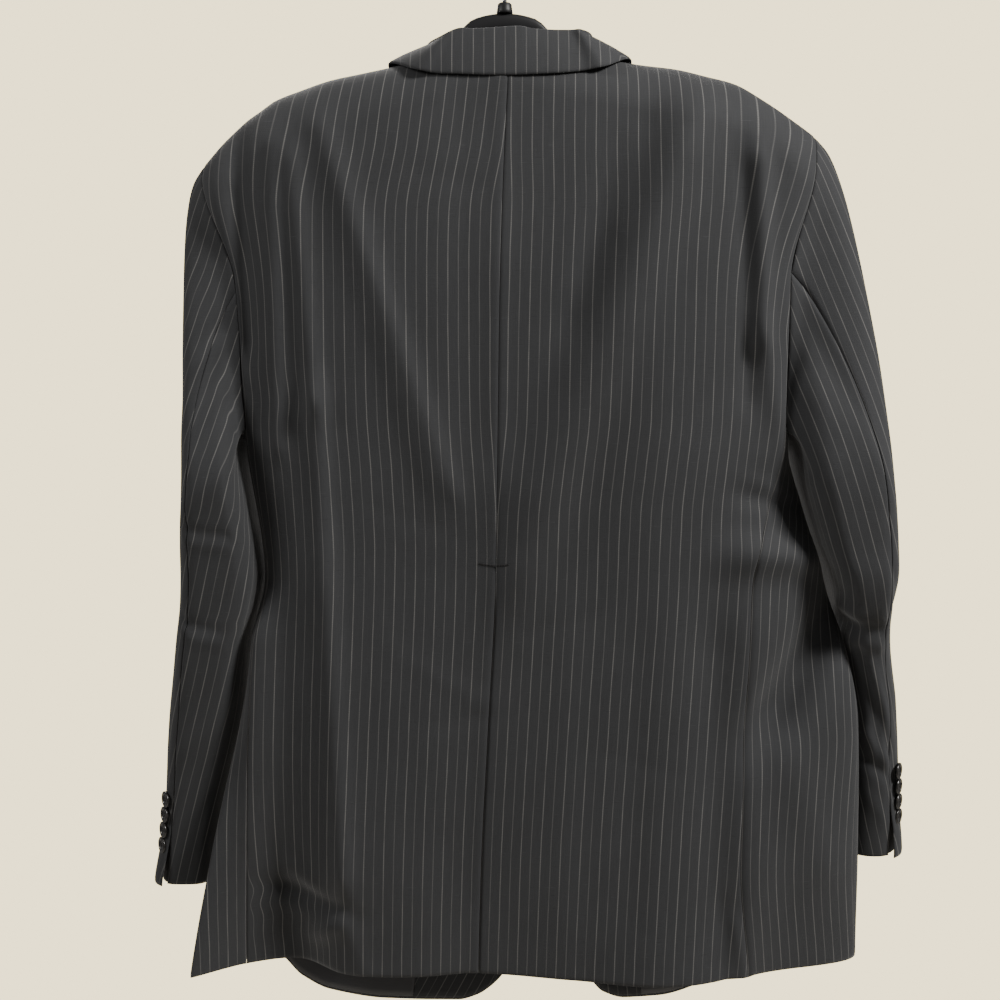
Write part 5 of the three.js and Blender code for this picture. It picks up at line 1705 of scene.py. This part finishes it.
def studio(colours):
    """A world that the camera sees as pale, and that lights the pieces faintly."""
    world = bpy.data.worlds.new("studio")
    world.use_nodes = True
    tree = world.node_tree
    seen, light = tree.nodes["Background"], tree.nodes.new("ShaderNodeBackground")
    for node, colour, strength in ((seen, opaque(colours.surround), 2.7), (light, WARM_WHITE, 0.2)):
        node.inputs["Color"].default_value = colour
        node.inputs["Strength"].default_value = strength
    path = tree.nodes.new("ShaderNodeLightPath")
    both = tree.nodes.new("ShaderNodeMixShader")
    for source, target in (
        (path.outputs["Is Camera Ray"], both.inputs[0]),
        (light.outputs[0], both.inputs[1]),
        (seen.outputs[0], both.inputs[2]),
        (both.outputs[0], tree.nodes["World Output"].inputs["Surface"]),
    ):
        tree.links.new(source, target)
    return world


def stage_camera():
    """The camera, behind the upper back and tilted down."""
    data = bpy.data.cameras.new("camera")
    data.lens = 50
    data.sensor_width = 36
    data.clip_start = 0.05
    camera = bpy.data.objects.new("camera", data)
    camera.location = CAMERA_PLACE
    camera.rotation_euler = (math.radians(90 - CAMERA_TILT), 0, math.pi)
    return camera


class BLAZER_OT_stage(bpy.types.Operator):
    """Adds the floor, the lights and the camera"""

    bl_idname = "blazer.stage"
    bl_label = "Stage"

    def execute(self, context):
        scene = context.scene
        sizes, colours = scene.blazer_sizes, scene.blazer_colours
        turn = np.arange(96) * 2 * math.pi / 96
        rim = np.stack([np.cos(turn), np.sin(turn), 0 * turn], axis=-1) * sizes.floor_radius
        mesh = bpy.data.meshes.new("floor")
        mesh.from_pydata(rim - np.array([0, 0, sizes.floor_drop]), [], [list(range(96))])
        mesh.materials.append(finish_of("floor"))
        floor = bpy.data.objects.new("floor", mesh)
        scene.collection.objects.link(floor)
        middle = (0, 0, -0.5)
        key = area_light("key_light", (-1.8, 1.15, 1.2), middle, 0.6, 114, NEAR_WHITE)
        fill = area_light("fill_light", (2.0, 0.9, 0.7), middle, 0.7, 30, NEAR_WHITE)
        front = area_light("front_light", (0.4, -2.2, 0.9), middle, 1.6, 60, WARM_WHITE[:3])
        scene.world = studio(colours)
        scene.camera = stage_camera()
        scene.collection.objects.link(scene.camera)
        return {"FINISHED"}


class BLAZER_PT_pieces(bpy.types.Panel):
    """Lists the blazer's sizes, colours and pieces"""

    bl_idname = "BLAZER_PT_pieces"
    bl_label = "Blazer"
    bl_space_type = "VIEW_3D"
    bl_region_type = "UI"
    bl_category = "Blazer"

    def draw(self, context):
        for group in (context.scene.blazer_sizes, context.scene.blazer_colours):
            for key in group.__annotations__:
                self.layout.prop(group, key)
        for operator in OPERATORS:
            self.layout.operator(operator.bl_idname)


OPERATORS = (
    BLAZER_OT_hanger, BLAZER_OT_back, BLAZER_OT_sides, BLAZER_OT_fronts, BLAZER_OT_collar,
    BLAZER_OT_sleeves, BLAZER_OT_pockets, BLAZER_OT_buttons, BLAZER_OT_stage,
)
CLASSES = (BlazerSizes, BlazerColours, *OPERATORS, BLAZER_PT_pieces)


def register():
    """Registers the classes and the scene's settings."""
    for kind in CLASSES:
        bpy.utils.register_class(kind)
    bpy.types.Scene.blazer_sizes = bpy.props.PointerProperty(type=BlazerSizes)
    bpy.types.Scene.blazer_colours = bpy.props.PointerProperty(type=BlazerColours)


def unregister():
    """Takes the settings and the classes out again."""
    del bpy.types.Scene.blazer_colours
    del bpy.types.Scene.blazer_sizes
    for kind in reversed(CLASSES):
        bpy.utils.unregister_class(kind)


def main():
    register()
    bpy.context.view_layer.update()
    for kind in OPERATORS:
        group, name = kind.bl_idname.split(".")
        getattr(getattr(bpy.ops, group), name)()
    bpy.context.view_layer.update()


if __name__ == "__main__":
    main()
